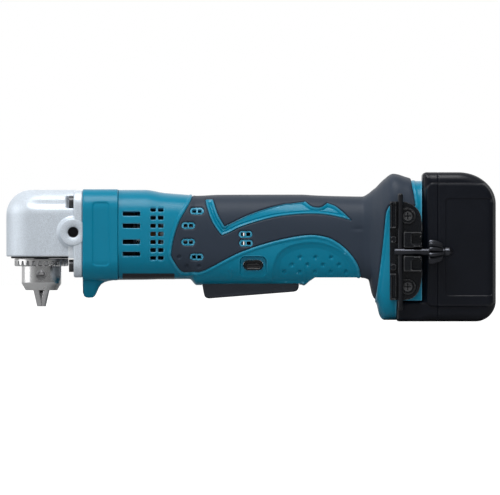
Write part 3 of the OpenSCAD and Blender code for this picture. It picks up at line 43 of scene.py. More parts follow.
# The studio. A level side view through a long lens, so that nothing is drawn in perspective.
# A white floor lies close under the battery, and the light is soft and mostly from above.
scene.view_settings.view_transform = "Standard"
MM = 0.001
VIEW_MID = np.array([133.44, 0.0, 37.66]) * MM
VIEW_FAR, VIEW_WIDE = 10.0, 0.32
lens = bpy.data.cameras.new("side_view")
lens.sensor_width = 36.0
lens.lens = lens.sensor_width * VIEW_FAR / VIEW_WIDE
lens.clip_end = 60.0
camera = bpy.data.objects.new("side_view", lens)
camera.location = VIEW_MID - np.array([0.0, VIEW_FAR, 0.0])
camera.rotation_euler = (math.pi / 2, 0.0, 0.0)
scene.collection.objects.link(camera)
scene.camera = camera


def lamp(name, place, aim, size, watts):
    """A square soft lamp at place, in metres, turned to face aim."""
    light = bpy.data.lights.new(name, "AREA")
    light.shape = "SQUARE"
    light.size = size
    light.energy = watts
    holder = bpy.data.objects.new(name, light)
    holder.location = place
    away = holder.location - type(holder.location)(aim)
    holder.rotation_euler = away.to_track_quat("Z", "Y").to_euler()
    scene.collection.objects.link(holder)
    return holder


lamp("top_softbox", (0.02, -0.45, 0.95), VIEW_MID, 0.6, 9.2)
lamp("left_softbox", (-1.05, 0.02, 0.25), VIEW_MID, 0.8, 4.2)
lamp("front_fill", (0.25, -1.3, 0.1), VIEW_MID, 0.9, 8.0).visible_glossy = False


def fill(tree, made, inputs):
    """Gives each input of a shader node a value, or joins it to another node's output."""
    for name, value in inputs.items():
        if isinstance(value, bpy.types.NodeSocket):
            tree.links.new(value, made.inputs[name])
        else:
            made.inputs[name].default_value = value


def node(tree, kind, inputs, **settings):
    """A new shader node with its settings and its inputs."""
    made = tree.nodes.new("ShaderNode" + kind)
    for name, value in settings.items():
        setattr(made, name, value)
    fill(tree, made, inputs)
    return made.outputs


def ramp(tree, value, start, end, low, high, kind="LINEAR"):
    """A shader value that goes from low to high while another goes from start to end."""
    return node(tree, "MapRange", {"Value": value, "From Min": start, "From Max": end, "To Min": low,
                                   "To Max": high}, interpolation_type=kind)["Result"]


def pair(tree, kind, one, other):
    """Two shader values added or multiplied."""
    return node(tree, "Math", {0: one, 1: other}, operation=kind)["Value"]


sky = bpy.data.worlds.new("studio_walls")
sky.use_nodes = True
scene.world = sky
walls = sky.node_tree
walls.nodes.clear()
ray = node(walls, "LightPath", {})
bearing = node(walls, "SeparateXYZ", {"Vector": node(walls, "TexCoord", {})["Generated"]})
BACK_START, BACK_END = 0.3, 0.95
ceiling = ramp(walls, bearing["Z"], 0.1, 0.9, 0.09, 0.6, "SMOOTHSTEP")
left_wall = ramp(walls, bearing["X"], -0.45, -0.85, 0.0, 0.6, "SMOOTHSTEP")
back_wall = ramp(walls, bearing["Y"], BACK_START, BACK_END, 0.0, 0.8, "SMOOTHSTEP")
wall_sum = pair(walls, "ADD", pair(walls, "ADD", ceiling, left_wall), back_wall)
wall_light = node(walls, "Background", {"Strength": wall_sum})
seen_light = node(walls, "Background", {"Strength": 1.0, "Color": (1.0, 1.0, 1.0, 1.0)})
backdrop = ramp(walls, bearing["Y"], BACK_START, BACK_END, 0.0, 1.0)
bounced = pair(walls, "ADD", ray["Is Glossy Ray"], ray["Is Transmission Ray"])
seen = pair(walls, "ADD", ray["Is Camera Ray"], pair(walls, "MULTIPLY", bounced, backdrop))
choose = node(walls, "MixShader", {"Fac": seen, 1: wall_light["Background"], 2: seen_light["Background"]})
node(walls, "OutputWorld", {"Surface": choose["Shader"]})

FLOOR_Z, FLOOR_HALF = -9.6 * MM, 9.0
floor_mesh = bpy.data.meshes.new("studio_floor")
floor_reach = np.array([[-1, -1], [1, -1], [1, 1], [-1, 1]]) * FLOOR_HALF
floor_mesh.from_pydata([(x, y, FLOOR_Z) for x, y in floor_reach], [], [(0, 1, 2, 3)])
floor = bpy.data.objects.new("studio_floor", floor_mesh)
scene.collection.objects.link(floor)
paper = bpy.data.materials.new("white_paper")
paper.use_nodes = True
sheet = paper.node_tree
sheet.nodes.clear()
paper_far = node(sheet, "VectorMath", {0: node(sheet, "TexCoord", {})["Object"]}, operation="LENGTH")
PAPER_NEAR, PAPER_FAR, PAPER_LOW = 0.4, 2.2, 0.84
paper_fade = ramp(sheet, paper_far["Value"], PAPER_NEAR, PAPER_FAR, PAPER_LOW, 1.0, "SMOOTHSTEP")
paper_seen = pair(sheet, "MULTIPLY", node(sheet, "LightPath", {})["Is Camera Ray"], paper_fade)
paper_glow = node(sheet, "Emission", {"Strength": paper_seen})
paper_matt = node(sheet, "BsdfDiffuse", {"Color": (0.32, 0.32, 0.32, 1.0)})
paper_sum = node(sheet, "AddShader", {0: paper_glow["Emission"], 1: paper_matt["BSDF"]})
node(sheet, "OutputMaterial", {"Surface": paper_sum["Shader"]})
floor_mesh.materials.append(paper)

# The angle head. A zinc-coloured die casting with a fine sparkling paint: a rounded tower over the
# spindle, a flange that is screwed to the gearbox, and a tapped boss on each side for a handle.
AXIS_Z = 46.3
HEAD_R, HEAD_RISE, HEAD_DROP, HEAD_EDGE_R = 22.5, 28.2, 14.4, 16.0
FLANGE_X, FLANGE_BACK_X = 20.8, 26.5
FLANGE_W, FLANGE_H, FLANGE_CORNER_R = 51.0, 55.6, 9.0
FLANGE_SCREW_Y, FLANGE_SCREW_Z, CHANNEL_R = 18.6, 20.3, 4.4
FAR, SNAP = 9.0, 0.16
BOSS_X, BOSS_Z, BOSS_R, SOCKET_R, SOCKET_L = FLANGE_X - 0.3, 1.1, 8.7, 3.4, 9.0

SLOW_SCALE, ROUGH_DRIFT, GRAIN_HEIGHT = 70.0, 0.07, 0.2 * MM
FLECK_LOW, FLECK_HIGH, POINTED_LOW, POINTED_HIGH = 0.35, 0.65, 0.52, 0.61


def finish(name, colour, rough, metal=0.0, grain=1500.0, bump=0.1, mottle=0.06, fleck=0.0, edge=0.0,
           stretch=(1.0, 1.0, 1.0), shine=0.35):
    """A finish for one material: its colour drifts by slow noise and flecks by fast noise, its roughness
    drifts with it, fast noise lifts the surface as grain, and sharp edges get a painted highlight by their
    pointiness."""
    material = bpy.data.materials.new(name)
    material.use_nodes = True
    tree = material.node_tree
    place = node(tree, "TexCoord", {})["Object"]
    turn = node(tree, "Mapping", {"Vector": place, "Scale": stretch})["Vector"]
    slow = node(tree, "TexNoise", {"Vector": place, "Scale": SLOW_SCALE, "Detail": 4.0})["Fac"]
    fast = node(tree, "TexNoise", {"Vector": turn, "Scale": grain, "Detail": 2.0})["Fac"]
    base = np.array(colour)
    tones = base * (1 - mottle), base * (1 + mottle), base * 1.6 + 0.12 * edge
    dark, light, painted_edge_highlight = ((*np.clip(c, 0, 1), 1) for c in tones)
    tone = node(tree, "Mix", {0: slow, 6: dark, 7: light}, data_type="RGBA")[2]
    if fleck:
        flecks = ramp(tree, fast, FLECK_LOW, FLECK_HIGH, 1 - fleck, 1 + fleck)
        tone = node(tree, "VectorMath", {0: tone, "Scale": flecks}, operation="SCALE")["Vector"]
    # Painted highlight: sharp edges are mixed towards a paler colour by their pointiness.
    if edge:
        pointed = node(tree, "NewGeometry", {})["Pointiness"]
        edge_highlight_share = ramp(tree, pointed, POINTED_LOW, POINTED_HIGH, 0.0, edge)
        tone = node(tree, "Mix", {0: edge_highlight_share, 6: tone, 7: painted_edge_highlight}, data_type="RGBA")[2]
    gloss = ramp(tree, slow, 0.0, 1.0, max(rough - ROUGH_DRIFT, 0.03), min(rough + ROUGH_DRIFT, 1.0))
    relief = node(tree, "Bump", {"Strength": bump, "Distance": GRAIN_HEIGHT, "Height": fast})
    fill(tree, tree.nodes["Principled BSDF"], {
        "Metallic": metal, "Specular IOR Level": shine, "Base Color": tone, "Roughness": gloss,
        "Normal": relief["Normal"]})
    return material


def columns(*parts):
    """Rows of values from several columns, of which single values fill a whole column."""
    return np.stack(np.broadcast_arrays(*parts), axis=1)


def in_order(*parts):
    """All values of several rows in order, each once."""
    return np.unique(np.concatenate(parts))


def closed(loop):
    """A loop of points with its first point again at its end."""
    return np.vstack([loop, loop[:1]])


def run_along(line):
    """The length along a line at each of its points."""
    return np.concatenate([[0], np.cumsum(np.linalg.norm(np.diff(line, axis=0), axis=1))])


def at_run(run, runs, line):
    """The columns of a line at lengths along it."""
    return [np.interp(run, runs, part) for part in np.transpose(line)]


def weld(points, quads):
    """Joins points that fall together, and makes a triangle of each four-sided face that has lost a side."""
    _, first, joined = np.unique(np.round(points, 4), axis=0, return_index=True, return_inverse=True)
    quads = joined.reshape(-1)[quads]
    same = quads == np.roll(quads, -1, axis=1)
    lost = same.sum(1)
    short, at = quads[lost == 1], same[lost == 1].argmax(1)
    rows = np.arange(len(short))
    threes = np.stack([short[rows, (at + 1 + k) % 4] for k in range(3)], axis=1)
    return points[first], [quads[lost == 0], threes]


def mesh_faces(rows, columns, ring=False):
    """The four-sided faces of a grid of points, rows by columns, whose columns may close in a ring."""
    index = np.arange(rows * columns).reshape(rows, columns)
    if ring:
        index = np.hstack([index, index[:, :1]])
    return np.stack([index[:-1, :-1], index[:-1, 1:], index[1:, 1:], index[1:, :-1]], axis=-1).reshape(-1, 4)


def piece(name, points, faces, body, slot, material, stands_for=(), sharp=38.0):
    """Puts points in millimetres and arrays of faces into a mesh whose faces look outwards, smooth but for
    edges sharper than an angle, and tells the frame what it rides on and stands for."""
    groups = [f for f in (faces if isinstance(faces, list) else [faces]) if len(f)]
    fans = np.concatenate([f[:, [0, k, k + 1]] for f in groups for k in range(1, f.shape[1] - 1)])
    corners = points[fans]
    volume = np.einsum("ij,ij->", corners[:, 0], np.cross(corners[:, 1], corners[:, 2]))
    if volume < 0:
        groups = [f[:, ::-1] for f in groups]
    mesh = bpy.data.meshes.new(name)
    loops = np.concatenate([f.ravel() for f in groups]).astype(np.int32)
    sides = np.concatenate([np.full(len(f), f.shape[1]) for f in groups])
    mesh.vertices.add(len(points))
    mesh.vertices.foreach_set("co", (points * MM).astype(np.float32).ravel())
    mesh.loops.add(len(loops))
    mesh.loops.foreach_set("vertex_index", loops)
    mesh.polygons.add(len(sides))
    mesh.polygons.foreach_set("loop_start", (np.cumsum(sides) - sides).astype(np.int32))
    mesh.update(calc_edges=True)
    mesh.validate()
    mesh.shade_smooth()
    mesh.set_sharp_from_angle(angle=math.radians(sharp))
    mesh.materials.append(material)
    made = bpy.data.objects.new(name, mesh)
    scene.collection.objects.link(made)
    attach(made, body)
    if stands_for:
        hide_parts(*stands_for)
    return made


def crease(uv, faces, held, measure, level=0.0, near=SNAP):
    """Cuts a triangle mesh in a surface's own two coordinates along the line where measure equals level.
    Free points closer than near are first moved onto the line, so that no sliver is left beside it."""
    off = measure(uv) - level
    pull = (np.abs(off) < near) & ~held
    if pull.any():
        step = 0.02
        p = uv[pull]
        slope = columns(
            (measure(p + [step, 0]) - measure(p - [step, 0])) / (2 * step),
            (measure(p + [0, step]) - measure(p - [0, step])) / (2 * step))
        steep = (slope ** 2).sum(1)
        good = steep > 0.02
        moved = np.flatnonzero(pull)[good]
        uv[moved] -= slope[good] * (off[moved] / steep[good])[:, None]
        off[moved] = 0.0
        held[moved] = True
    off[np.abs(off) < 1e-6] = 0.0
    count = len(uv)
    sides = np.stack([faces, np.roll(faces, -1, axis=1)], axis=-1)
    low, high = sides.min(-1), sides.max(-1)
    crossing = off[low] * off[high] < 0
    keys, place = np.unique((low * count + high)[crossing], return_inverse=True)
    a, b = keys // count, keys % count
    new = uv[a] + (uv[b] - uv[a]) * (off[a] / (off[a] - off[b]))[:, None]
    mid = np.full(faces.shape, -1)
    mid[crossing] = count + place.reshape(-1)
    cuts = crossing.sum(1)
    parts = [faces[cuts == 0]]
    for k in range(3):
        once = (cuts == 1) & crossing[:, k]
        p, q, r = (faces[once, (k + i) % 3] for i in range(3))
        m = mid[once, k]
        parts += [columns(p, m, r), columns(m, q, r)]
        twice = (cuts == 2) & ~crossing[:, k]
        p, q, r = (faces[twice, (k + i) % 3] for i in range(3))
        m, n = mid[twice, (k + 1) % 3], mid[twice, (k + 2) % 3]
        parts += [columns(p, q, m), columns(p, m, n), columns(n, m, r)]
    return np.vstack([uv, new]), np.vstack(parts), np.concatenate([held, np.ones(len(new), bool)])


def creases(grid, cuts, near=SNAP):
    """A mesh of points, faces and held edges cut along each measure at each of its levels."""
    for measure, levels in cuts:
        for level in levels:
            grid = crease(*grid, measure, level, near)
    return grid


def grid_triangles(u, v):
    """Two triangles for each cell of the grid of all u by all v, as points (u, v), faces and held edges."""
    uv = np.stack(np.meshgrid(u, v, indexing="ij"), axis=-1).reshape(-1, 2)
    quads = mesh_faces(len(u), len(v))
    rim = np.isin(uv[:, 0], [u[0], u[-1]]) | np.isin(uv[:, 1], [v[0], v[-1]])
    return uv, np.vstack([quads[:, :3], quads[:, [0, 2, 3]]]), rim


def used(points, faces):
    """Only the points that the faces use, with the faces renumbered."""
    keep, index = np.unique(faces, return_inverse=True)
    return points[keep], index.reshape(faces.shape)


def mix(a, b, share):
    """A value between a and b."""
    return a + (b - a) * share


def blend(value, low, high):
    """A smooth step from zero at low to one at high."""
    t = np.clip((value - low) / (high - low), 0, 1)
    return t * t * (3 - 2 * t)


cast_paint = finish("sparkling_cast_paint", (0.60, 0.66, 0.725), 0.5, metal=0.45, grain=2600.0, bump=0.25,
                    mottle=0.03, fleck=0.14, edge=0.25)
TOWER_EDGE = np.pi / 2 * HEAD_EDGE_R
TOWER_LEFT = np.pi / 2 * HEAD_R
RIM_R, TOWER_RUN, RIM_WALL_H, TOWER_MID = 0.7, 58.2, 5.0, (10.0, 0.0, AXIS_Z)
GROOVE_FADE, NOTCH_FADE, NOTCH_SINK = (-12.0, -1.0), (15.8, 17.2), 3.4
GROOVE_DEPTHS = (15.9, 16.6, 17.8, 19.4, 21.0, 22.3, 23.0), (0.0, 0.2, 0.95, 1.5, 0.95, 0.2, 0.0)


def tower_line(t):
    """Inset from the wall and height of the tower's outline at length t from its lower rim: a small
    round, the straight wall, a quarter round of the edge radius and the flat top."""
    wall = HEAD_DROP + HEAD_RISE - HEAD_EDGE_R
    a = np.clip((t - wall) / HEAD_EDGE_R, 0, np.pi / 2)
    flat = np.clip(t - wall - TOWER_EDGE, 0, None)
    low = np.clip(t / RIM_R, 0, 1)
    inset = HEAD_EDGE_R * (1 - np.cos(a)) + flat + RIM_R * (1 - low) ** 2
    high = -HEAD_DROP + np.clip(t, 0, wall) + HEAD_EDGE_R * np.sin(a)
    return np.minimum(inset, HEAD_R), high


def tower(uv):
    """The tower's plan is a half circle about the spindle with straight sides back to the flange: u runs
    along that plan, zero at the front, and v climbs the outline, whose inset shrinks the plan."""
    u, v = uv.T
    inset, high = tower_line(v)
    turn = np.clip(u / HEAD_R, -np.pi / 2, np.pi / 2)
    back = np.clip(np.abs(u) - TOWER_LEFT, 0, None)
    r = HEAD_R - inset
    return columns(-r * np.cos(turn) + back, -r * np.sin(turn), high + AXIS_Z)


def outward(shape, uv, middle, e=0.02):
    """Unit normals of a surface, from small steps along its two coordinates, that look away from a middle."""
    along = shape(uv + [e, 0]) - shape(uv - [e, 0])
    across = shape(uv + [0, e]) - shape(uv - [0, e])
    n = np.cross(along, across)
    n *= np.sign((n * (shape(uv) - middle)).sum(1, keepdims=True))
    return n / np.maximum(np.linalg.norm(n, axis=1, keepdims=True), 1e-12)


def channel_gap(uv):
    """Distance of the tower's wall from the nearer screwdriver channel, negative inside it."""
    p = tower(uv)
    return np.hypot(np.abs(p[:, 1]) - FLANGE_SCREW_Y, p[:, 2] - AXIS_Z - FLANGE_SCREW_Z) - CHANNEL_R


def socket_gap(uv):
    """Distance of the tower's wall from the tapped socket in the boss, negative inside it."""
    p = tower(uv)
    gap = np.hypot(p[:, 0] - BOSS_X, p[:, 2] - AXIS_Z - BOSS_Z) - SOCKET_R - 0.4
    return np.where(np.abs(p[:, 1]) > HEAD_R - 5, gap, FAR)


def softened(values, times):
    """Values on a grid, each time averaged with their neighbours, a quarter on each side along both ways."""
    for _ in range(times):
        for axis in (0, 1):
            edge = np.concatenate([values.take([0], axis), values, values.take([-1], axis)], axis)
            size = values.shape[axis]
            values = (edge.take(range(size), axis) + 2 * values + edge.take(range(2, size + 2), axis)) / 4
    return values


tower_u = np.linspace(-TOWER_LEFT - FLANGE_X - 1, TOWER_LEFT + FLANGE_X + 1, 231)
tower_v = np.concatenate([np.linspace(0, RIM_R, 4)[:-1], np.linspace(RIM_R, TOWER_RUN, 132)])
uv, faces, _ = grid_triangles(tower_u, tower_v)
at = tower(uv)
facing = outward(tower, uv, TOWER_MID)
flat_n = facing[:, 1:]
from_axis = columns(at[:, 1] - np.sign(at[:, 1]) * FLANGE_SCREW_Y, at[:, 2] - AXIS_Z - FLANGE_SCREW_Z)
half_b = (from_axis * flat_n).sum(1)
square = np.maximum((flat_n ** 2).sum(1), 1e-6)
inside = np.maximum(half_b ** 2 - square * ((from_axis ** 2).sum(1) - CHANNEL_R ** 2), 0)
sunk = np.where(channel_gap(uv) < -1e-6, (half_b + np.sqrt(inside)) / square, 0.0)
groove = np.interp(at[:, 2] - AXIS_Z, *GROOVE_DEPTHS) * blend(at[:, 0], *GROOVE_FADE)
sunk = np.maximum(groove, np.clip(sunk, 0, NOTCH_SINK) * blend(at[:, 0], *NOTCH_FADE))
sunk = softened(sunk.reshape(len(tower_u), len(tower_v)), 2).ravel()
at = at - facing * sunk[:, None]
faces = faces[socket_gap(uv)[faces].min(1) > 0]
edge_u = columns(tower_u, 0.0)
lip = tower(edge_u)
sill, up = lip * [0.8, 0.8, 1.0], [0, 0, RIM_WALL_H]
inner = np.stack([lip, sill, sill + up, lip * [0.0, 0.0, 1.0] + up])
head_in = (inner.reshape(-1, 3), mesh_faces(4, len(tower_u)))


def rounded_loop(wide, tall, corner, steps=10):
    """Points round a rectangle with round corners, and the outward direction at each of them."""
    turns = np.concatenate([np.linspace(k, k + 1, steps) for k in range(4)]) * np.pi / 2
    side = columns(np.cos(turns), np.sin(turns))
    middle = np.repeat(np.array([[1, 1], [-1, 1], [-1, -1], [1, -1]]), steps, axis=0)
    return middle * np.array([wide / 2 - corner, tall / 2 - corner]) + side * corner, side


def rings(loops):
    """Faces that join loops of points, one after the other, each loop closed."""
    loops = np.asarray(loops)
    return weld(loops.reshape(-1, 3), mesh_faces(loops.shape[0], loops.shape[1], ring=True))


def plate(loop, side, line, place):
    """A plate with rounded edges: the loop is drawn once for each (inset, depth) of the line, and place
    turns its two coordinates and the depth into a point. Its ends close in the loop's middle."""
    drawn = [place(loop - side * inset, depth) for inset, depth in line]
    ends = [np.repeat(d.mean(0, keepdims=True), len(loop), axis=0) for d in (drawn[0], drawn[-1])]
    return rings([ends[0], *drawn, ends[1]])


def turned(line, count, place):
    """A turned shape: the line of (radius, length) goes once round, and place turns the two coordinates
    across the axis and the length along it into a point."""
    a = np.arange(count) * 2 * np.pi / count
    round_ = columns(np.cos(a), np.sin(a))
    return rings([place(round_ * r, x) for r, x in line])


def along_x(y=0.0, z=0.0):
    """Places a plate or turned shape with its axis along the motor, at y and z off the motor axis."""
    return lambda flat, x: columns(x, flat[:, 0] + y, flat[:, 1] + z + AXIS_Z)


def along_y(x=0.0, z=0.0):
    """Places a plate or turned shape with its axis across the tool."""
    return lambda flat, y: columns(flat[:, 0] + x, y, flat[:, 1] + z + AXIS_Z)


def along_z(flat, z):
    """Places a turned shape with its axis on the spindle."""
    return columns(flat[:, 0], flat[:, 1], z)


def together(*shapes):
    """Several shapes as one set of points and faces."""
    points, faces, start = [], [], 0
    for p, f in shapes:
        points.append(p)
        faces += [g + start for g in (f if isinstance(f, list) else [f])]
        start += len(p)
    return np.vstack(points), faces


def bevelled(low, high, r, steps=4):
    """A line of (inset, depth) for a plate from low to high with round edges of radius r."""
    a = np.linspace(0, np.pi / 2, steps)
    ends = columns(r * (1 - np.sin(a)), r * (1 - np.cos(a)))
    return [(i, low + d) for i, d in ends] + [(i, high - d) for i, d in ends[::-1]]


flange_loop, flange_side = rounded_loop(FLANGE_W, FLANGE_H, FLANGE_CORNER_R)
flange_line = np.array(bevelled(FLANGE_X, FLANGE_BACK_X, 1.1))
flange_run = run_along(flange_line)
flange_path, flange_turn = closed(flange_loop), closed(flange_side)
flange_round = run_along(flange_path)


def flange_edge(uv):
    """The flange's edge: u runs round its outline and v across its thickness over two round edges."""
    inset, x = at_run(uv[:, 1], flange_run, flange_line)
    y, z = at_run(uv[:, 0], flange_round, flange_path)
    side_y, side_z = at_run(uv[:, 0], flange_round, flange_turn)
    return columns(x, y - inset * side_y, z - inset * side_z + AXIS_Z)


def boss_gap(uv):
    """Distance from the boss's outline, negative inside it."""
    p = flange_edge(uv)
    return np.hypot(p[:, 0] - BOSS_X, p[:, 2] - AXIS_Z - BOSS_Z) - BOSS_R + 0.1


flange_u = in_order(flange_round, np.linspace(0, flange_round[-1], 240))
flange_v = in_order(flange_run, np.linspace(1.8, flange_run[-1] - 1.8, 7))
uv, flange_faces, _ = crease(*grid_triangles(flange_u, flange_v), boss_gap)
flange_faces = flange_faces[boss_gap(uv[flange_faces].mean(1)) > 0]
flange = (flange_edge(uv), flange_faces)
flange_ends = []
for end in (0.0, flange_run[-1]):
    rim = flange_edge(columns(flange_u, end))
    hub = rim.mean(0, keepdims=True)
    disc = np.concatenate([mix(rim, hub, share) for share in np.linspace(0, 1, 16)])
    disc_faces = mesh_faces(16, len(rim))
    middle = disc[disc_faces].mean(1)
    beside = np.abs(middle[:, 2] - AXIS_Z - BOSS_Z) > SOCKET_R + 0.7
    behind = np.abs(middle[:, 1]) < FLANGE_W / 2 - SOCKET_L - 1
    flange_ends.append(weld(disc, disc_faces[beside | behind]))
boss_line = [(11.5, 4.2), (10.6, 2.9), (10.0, 2.5), (9.5, 2.2), (BOSS_R + 0.3, 1.2), (BOSS_R, 0.5),
             (BOSS_R - 0.25, 0.12), (BOSS_R - 0.6, 0.0), (SOCKET_R + 0.75, 0.0), (SOCKET_R, 0.7),
             (SOCKET_R, 1.6)]
bosses = []
for way in (-1, 1):
    face = way * FLANGE_W / 2
    line = [(r, face - way * depth) for r, depth in boss_line]
    bosses.append(turned(line, 72, along_y(BOSS_X, BOSS_Z)))
WEB_L, WEB_H, WEB_IN, WEB_OUT, WEB_Z = 6.5, 12.0, 20.0, 23.6, -9.6
web_loop, web_side = rounded_loop(WEB_L, WEB_H, 0.8)
webs = [plate(web_loop, web_side, bevelled(*sorted((way * WEB_IN, way * WEB_OUT)), 0.5),
              along_y(FLANGE_X - 0.2, WEB_Z))
        for way in (-1, 1)]
head = together((at, faces), head_in, flange, *flange_ends, *bosses, *webs)
piece("cast_head", *head, "body", "cast_alloy", cast_paint, ["angle_head"], sharp=50.0)

# The tapped sockets in the bosses, one on each side. Each is a blind hole with a bare thread, cut in the
# painted casting, and coloured near black as painted shade inside the hole.
# Painted shade: a near-black finish for bare metal that lies in shade, inside holes and gaps.
painted_shade_steel = finish("painted_shade_steel", (0.035, 0.035, 0.04), 0.4, metal=0.6, bump=0.1, mottle=0.2)
THREAD_PITCH, THREAD_DEPTH, THREAD_START, THREAD_LEAD = 1.25, 0.55, 1.2, 0.6
thread_a = np.linspace(0, 2 * np.pi, 41)
thread_x = np.linspace(0, SOCKET_L - THREAD_START, 90)
thread_wave = np.abs(((thread_x[:, None] / THREAD_PITCH + thread_a[None] / (2 * np.pi)) % 1) - 0.5)
thread_r = SOCKET_R - 0.02 - THREAD_DEPTH * (1 - 2 * thread_wave) * (thread_x[:, None] > THREAD_LEAD)
for way, side_name in ((-1, "left"), (1, "right")):
    depth = np.repeat(thread_x[:, None], len(thread_a), axis=1)
    wall = np.stack([thread_r * np.cos(thread_a) + BOSS_X, way * (FLANGE_W / 2 - THREAD_START - depth),
                     thread_r * np.sin(thread_a) + AXIS_Z + BOSS_Z], axis=-1)
    floor_ring = wall[-1:] * [0, 1, 0] + [BOSS_X, 0, AXIS_Z + BOSS_Z]
    tube = np.concatenate([wall, floor_ring]).reshape(-1, 3)
    tube_faces = mesh_faces(len(thread_x) + 1, len(thread_a))
    bore = piece(f"handle_socket_{side_name}", *weld(tube, tube_faces), "body", "dark_steel", painted_shade_steel)
    bore.data.flip_normals()

# Spindle, bearings and gears. Turned and cut from steel, and hidden in the head and the gearbox: the spindle
# runs in a ball bearing and a needle bearing, and the planets run in a fixed ring gear.
cut_steel = finish("cut_steel", (0.55, 0.56, 0.57), 0.3, metal=1.0, grain=500.0, bump=0.15, mottle=0.08,
                   stretch=(1.0, 1.0, 6.0), edge=0.3)
oiled_steel = finish("oiled_gear_steel", (0.42, 0.42, 0.41), 0.28, metal=1.0, grain=900.0, bump=0.12,
                     mottle=0.12, edge=0.3)


def dress(material, *names):
    """Gives solids of the frame a finish in place of their plain colour."""
    for name in names:
        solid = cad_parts[name].data
        solid.materials.clear()
        solid.materials.append(material)


dress(cut_steel, "spindle", "spindle_top_bearing", "spindle_needle_bearing", "pinion_bearing",
      "motor_front_bearing", "motor_rear_bearing", "planet_pins", "switch_plunger", "chuck_nut")
dress(oiled_steel, "crown_gear", "pinion_shaft", "planet_carrier", "planet_gear_1", "planet_gear_2",
      "planet_gear_3", "ring_gear", "sun_gear")

# The flange screws. Four socket-head screws of blackened steel that hold the head to the gearbox, with
# their heads in the casting's notches. The other screws of the frame have the same finish.
black_steel = finish("blackened_steel", (0.03, 0.031, 0.035), 0.34, metal=0.75, grain=1800.0, bump=0.15,
                     mottle=0.2, edge=0.5)
dress(black_steel, "flange_screws", "housing_screws", "battery_screws", "chuck_screw")

# The dust ring. A moulded rubber ring, pressed into the lower rim of the head, that closes the head
# against the chuck.
seal_rubber = finish("dust_ring_rubber", (0.02, 0.021, 0.023), 0.7, bump=0.3, mottle=0.15)
DUST_IN_R, DUST_R, DUST_LOW, DUST_TOP = 13.4, 19.5, 30.7, 31.95
dust_line = [(DUST_IN_R, DUST_TOP), (DUST_IN_R, DUST_LOW), (DUST_R - 0.3, DUST_LOW), (DUST_R, DUST_LOW + 0.3),
             (DUST_R, DUST_TOP), (DUST_IN_R, DUST_TOP)]
piece("dust_ring_moulded", *turned(dust_line, 96, along_z), "body", "seal_rubber", seal_rubber, ["dust_ring"],
      sharp=30.0)

# The chuck. A turned steel body, screwed to the spindle, with three holes for the key's pilot and three
# ground jaws. A sleeve with cut teeth turns on it, and the key turns the sleeve.
chuck_chrome = finish("turned_chuck_steel", (0.68, 0.685, 0.69), 0.27, metal=1.0, grain=300.0, bump=0.04,
                      mottle=0.05, stretch=(0.4, 0.4, 8.0), edge=0.2)
jaw_steel = finish("ground_jaw_steel", (0.50, 0.50, 0.51), 0.22, metal=1.0, grain=700.0, bump=0.1,
                   mottle=0.08, edge=0.3)
CHUCK_R, NOSE_R, NOSE_Z, NOSE_BEVEL = 12.65, 10.3, 10.3, 4.3
KEY_HOLE_R, KEY_HOLE_Z, KEY_HOLE_L, HOLE_EDGE, HOLE_DIP = 3.25, 20.16, 5.6, 0.35, 0.3
RING_R, RING_Z, RING_H, RING_TEETH, RING_TOOTH_H = 17.3, 25.7, 4.9, 26, 3.2
key_turns = np.radians([270.0, 30.0, 150.0])
chuck_line = np.array([[4.6, NOSE_Z], [NOSE_R - 0.3, NOSE_Z], [NOSE_R, NOSE_Z + 0.25],
                       [CHUCK_R - 0.15, NOSE_Z + NOSE_BEVEL - 0.1], [CHUCK_R, NOSE_Z + NOSE_BEVEL + 0.2],
                       [CHUCK_R, RING_Z + RING_H - 0.3]])
chuck_run = run_along(chuck_line)


def chuck_wall(uv):
    """The chuck body: its outline, from the nose face over the bevel up the wall, turned about the spindle.
    u is the angle times the radius and v the length along the outline."""
    r, z = at_run(uv[:, 1], chuck_run, chuck_line)
    a = uv[:, 0] / CHUCK_R
    return columns(r * np.cos(a), r * np.sin(a), z)


def key_hole_gap(uv):
    """Distance from the nearest of the three holes for the key's pilot."""
    z = np.interp(uv[:, 1], chuck_run, chuck_line[:, 1])
    turn = np.abs((uv[:, 0][:, None] / CHUCK_R - key_turns + np.pi) % (2 * np.pi) - np.pi).min(1)
    return np.hypot(CHUCK_R * np.sin(np.minimum(turn, 1.5)), z - KEY_HOLE_Z) - KEY_HOLE_R


chuck_v = in_order(chuck_run, np.linspace(chuck_run[4], chuck_run[5], 26))
chuck_grid = grid_triangles(np.linspace(0, 2 * np.pi * CHUCK_R, 161), chuck_v)
uv, faces, _ = creases(chuck_grid, [(key_hole_gap, (HOLE_EDGE, 0.0))])
faces = faces[key_hole_gap(uv[faces].mean(1)) > 0]
at = chuck_wall(uv)
dip = np.interp(key_hole_gap(uv), [0.0, HOLE_EDGE], [HOLE_DIP, 0.0])
at[:, :2] *= (1 - dip / CHUCK_R)[:, None]
piece("chuck_body_turned", at, faces, "spindle", "chuck_chrome", chuck_chrome, ["chuck_body"], sharp=30.0)
hole_line = [(KEY_HOLE_R + 0.02, CHUCK_R - 0.2), (KEY_HOLE_R, CHUCK_R - 1.2),
             (KEY_HOLE_R, CHUCK_R - KEY_HOLE_L), (KEY_HOLE_R - 1.2, CHUCK_R - KEY_HOLE_L - 0.4),
             (0.0, CHUCK_R - KEY_HOLE_L - 1.6)]
for k, a in enumerate(key_turns):
    out, level = np.array([np.cos(a), np.sin(a), 0.0]), np.array([-np.sin(a), np.cos(a), 0.0])
    bore = turned(hole_line, 48, lambda flat, r: flat[:, :1] * level + flat[:, 1:] * [0, 0, 1.0] + r * out
                  + [0, 0, KEY_HOLE_Z])
    piece(f"key_hole_{k + 1}", *bore, "spindle", "chuck_chrome", jaw_steel).data.flip_normals()
ring_a = np.arange(RING_TEETH * 16) * 2 * np.pi / (RING_TEETH * 16)
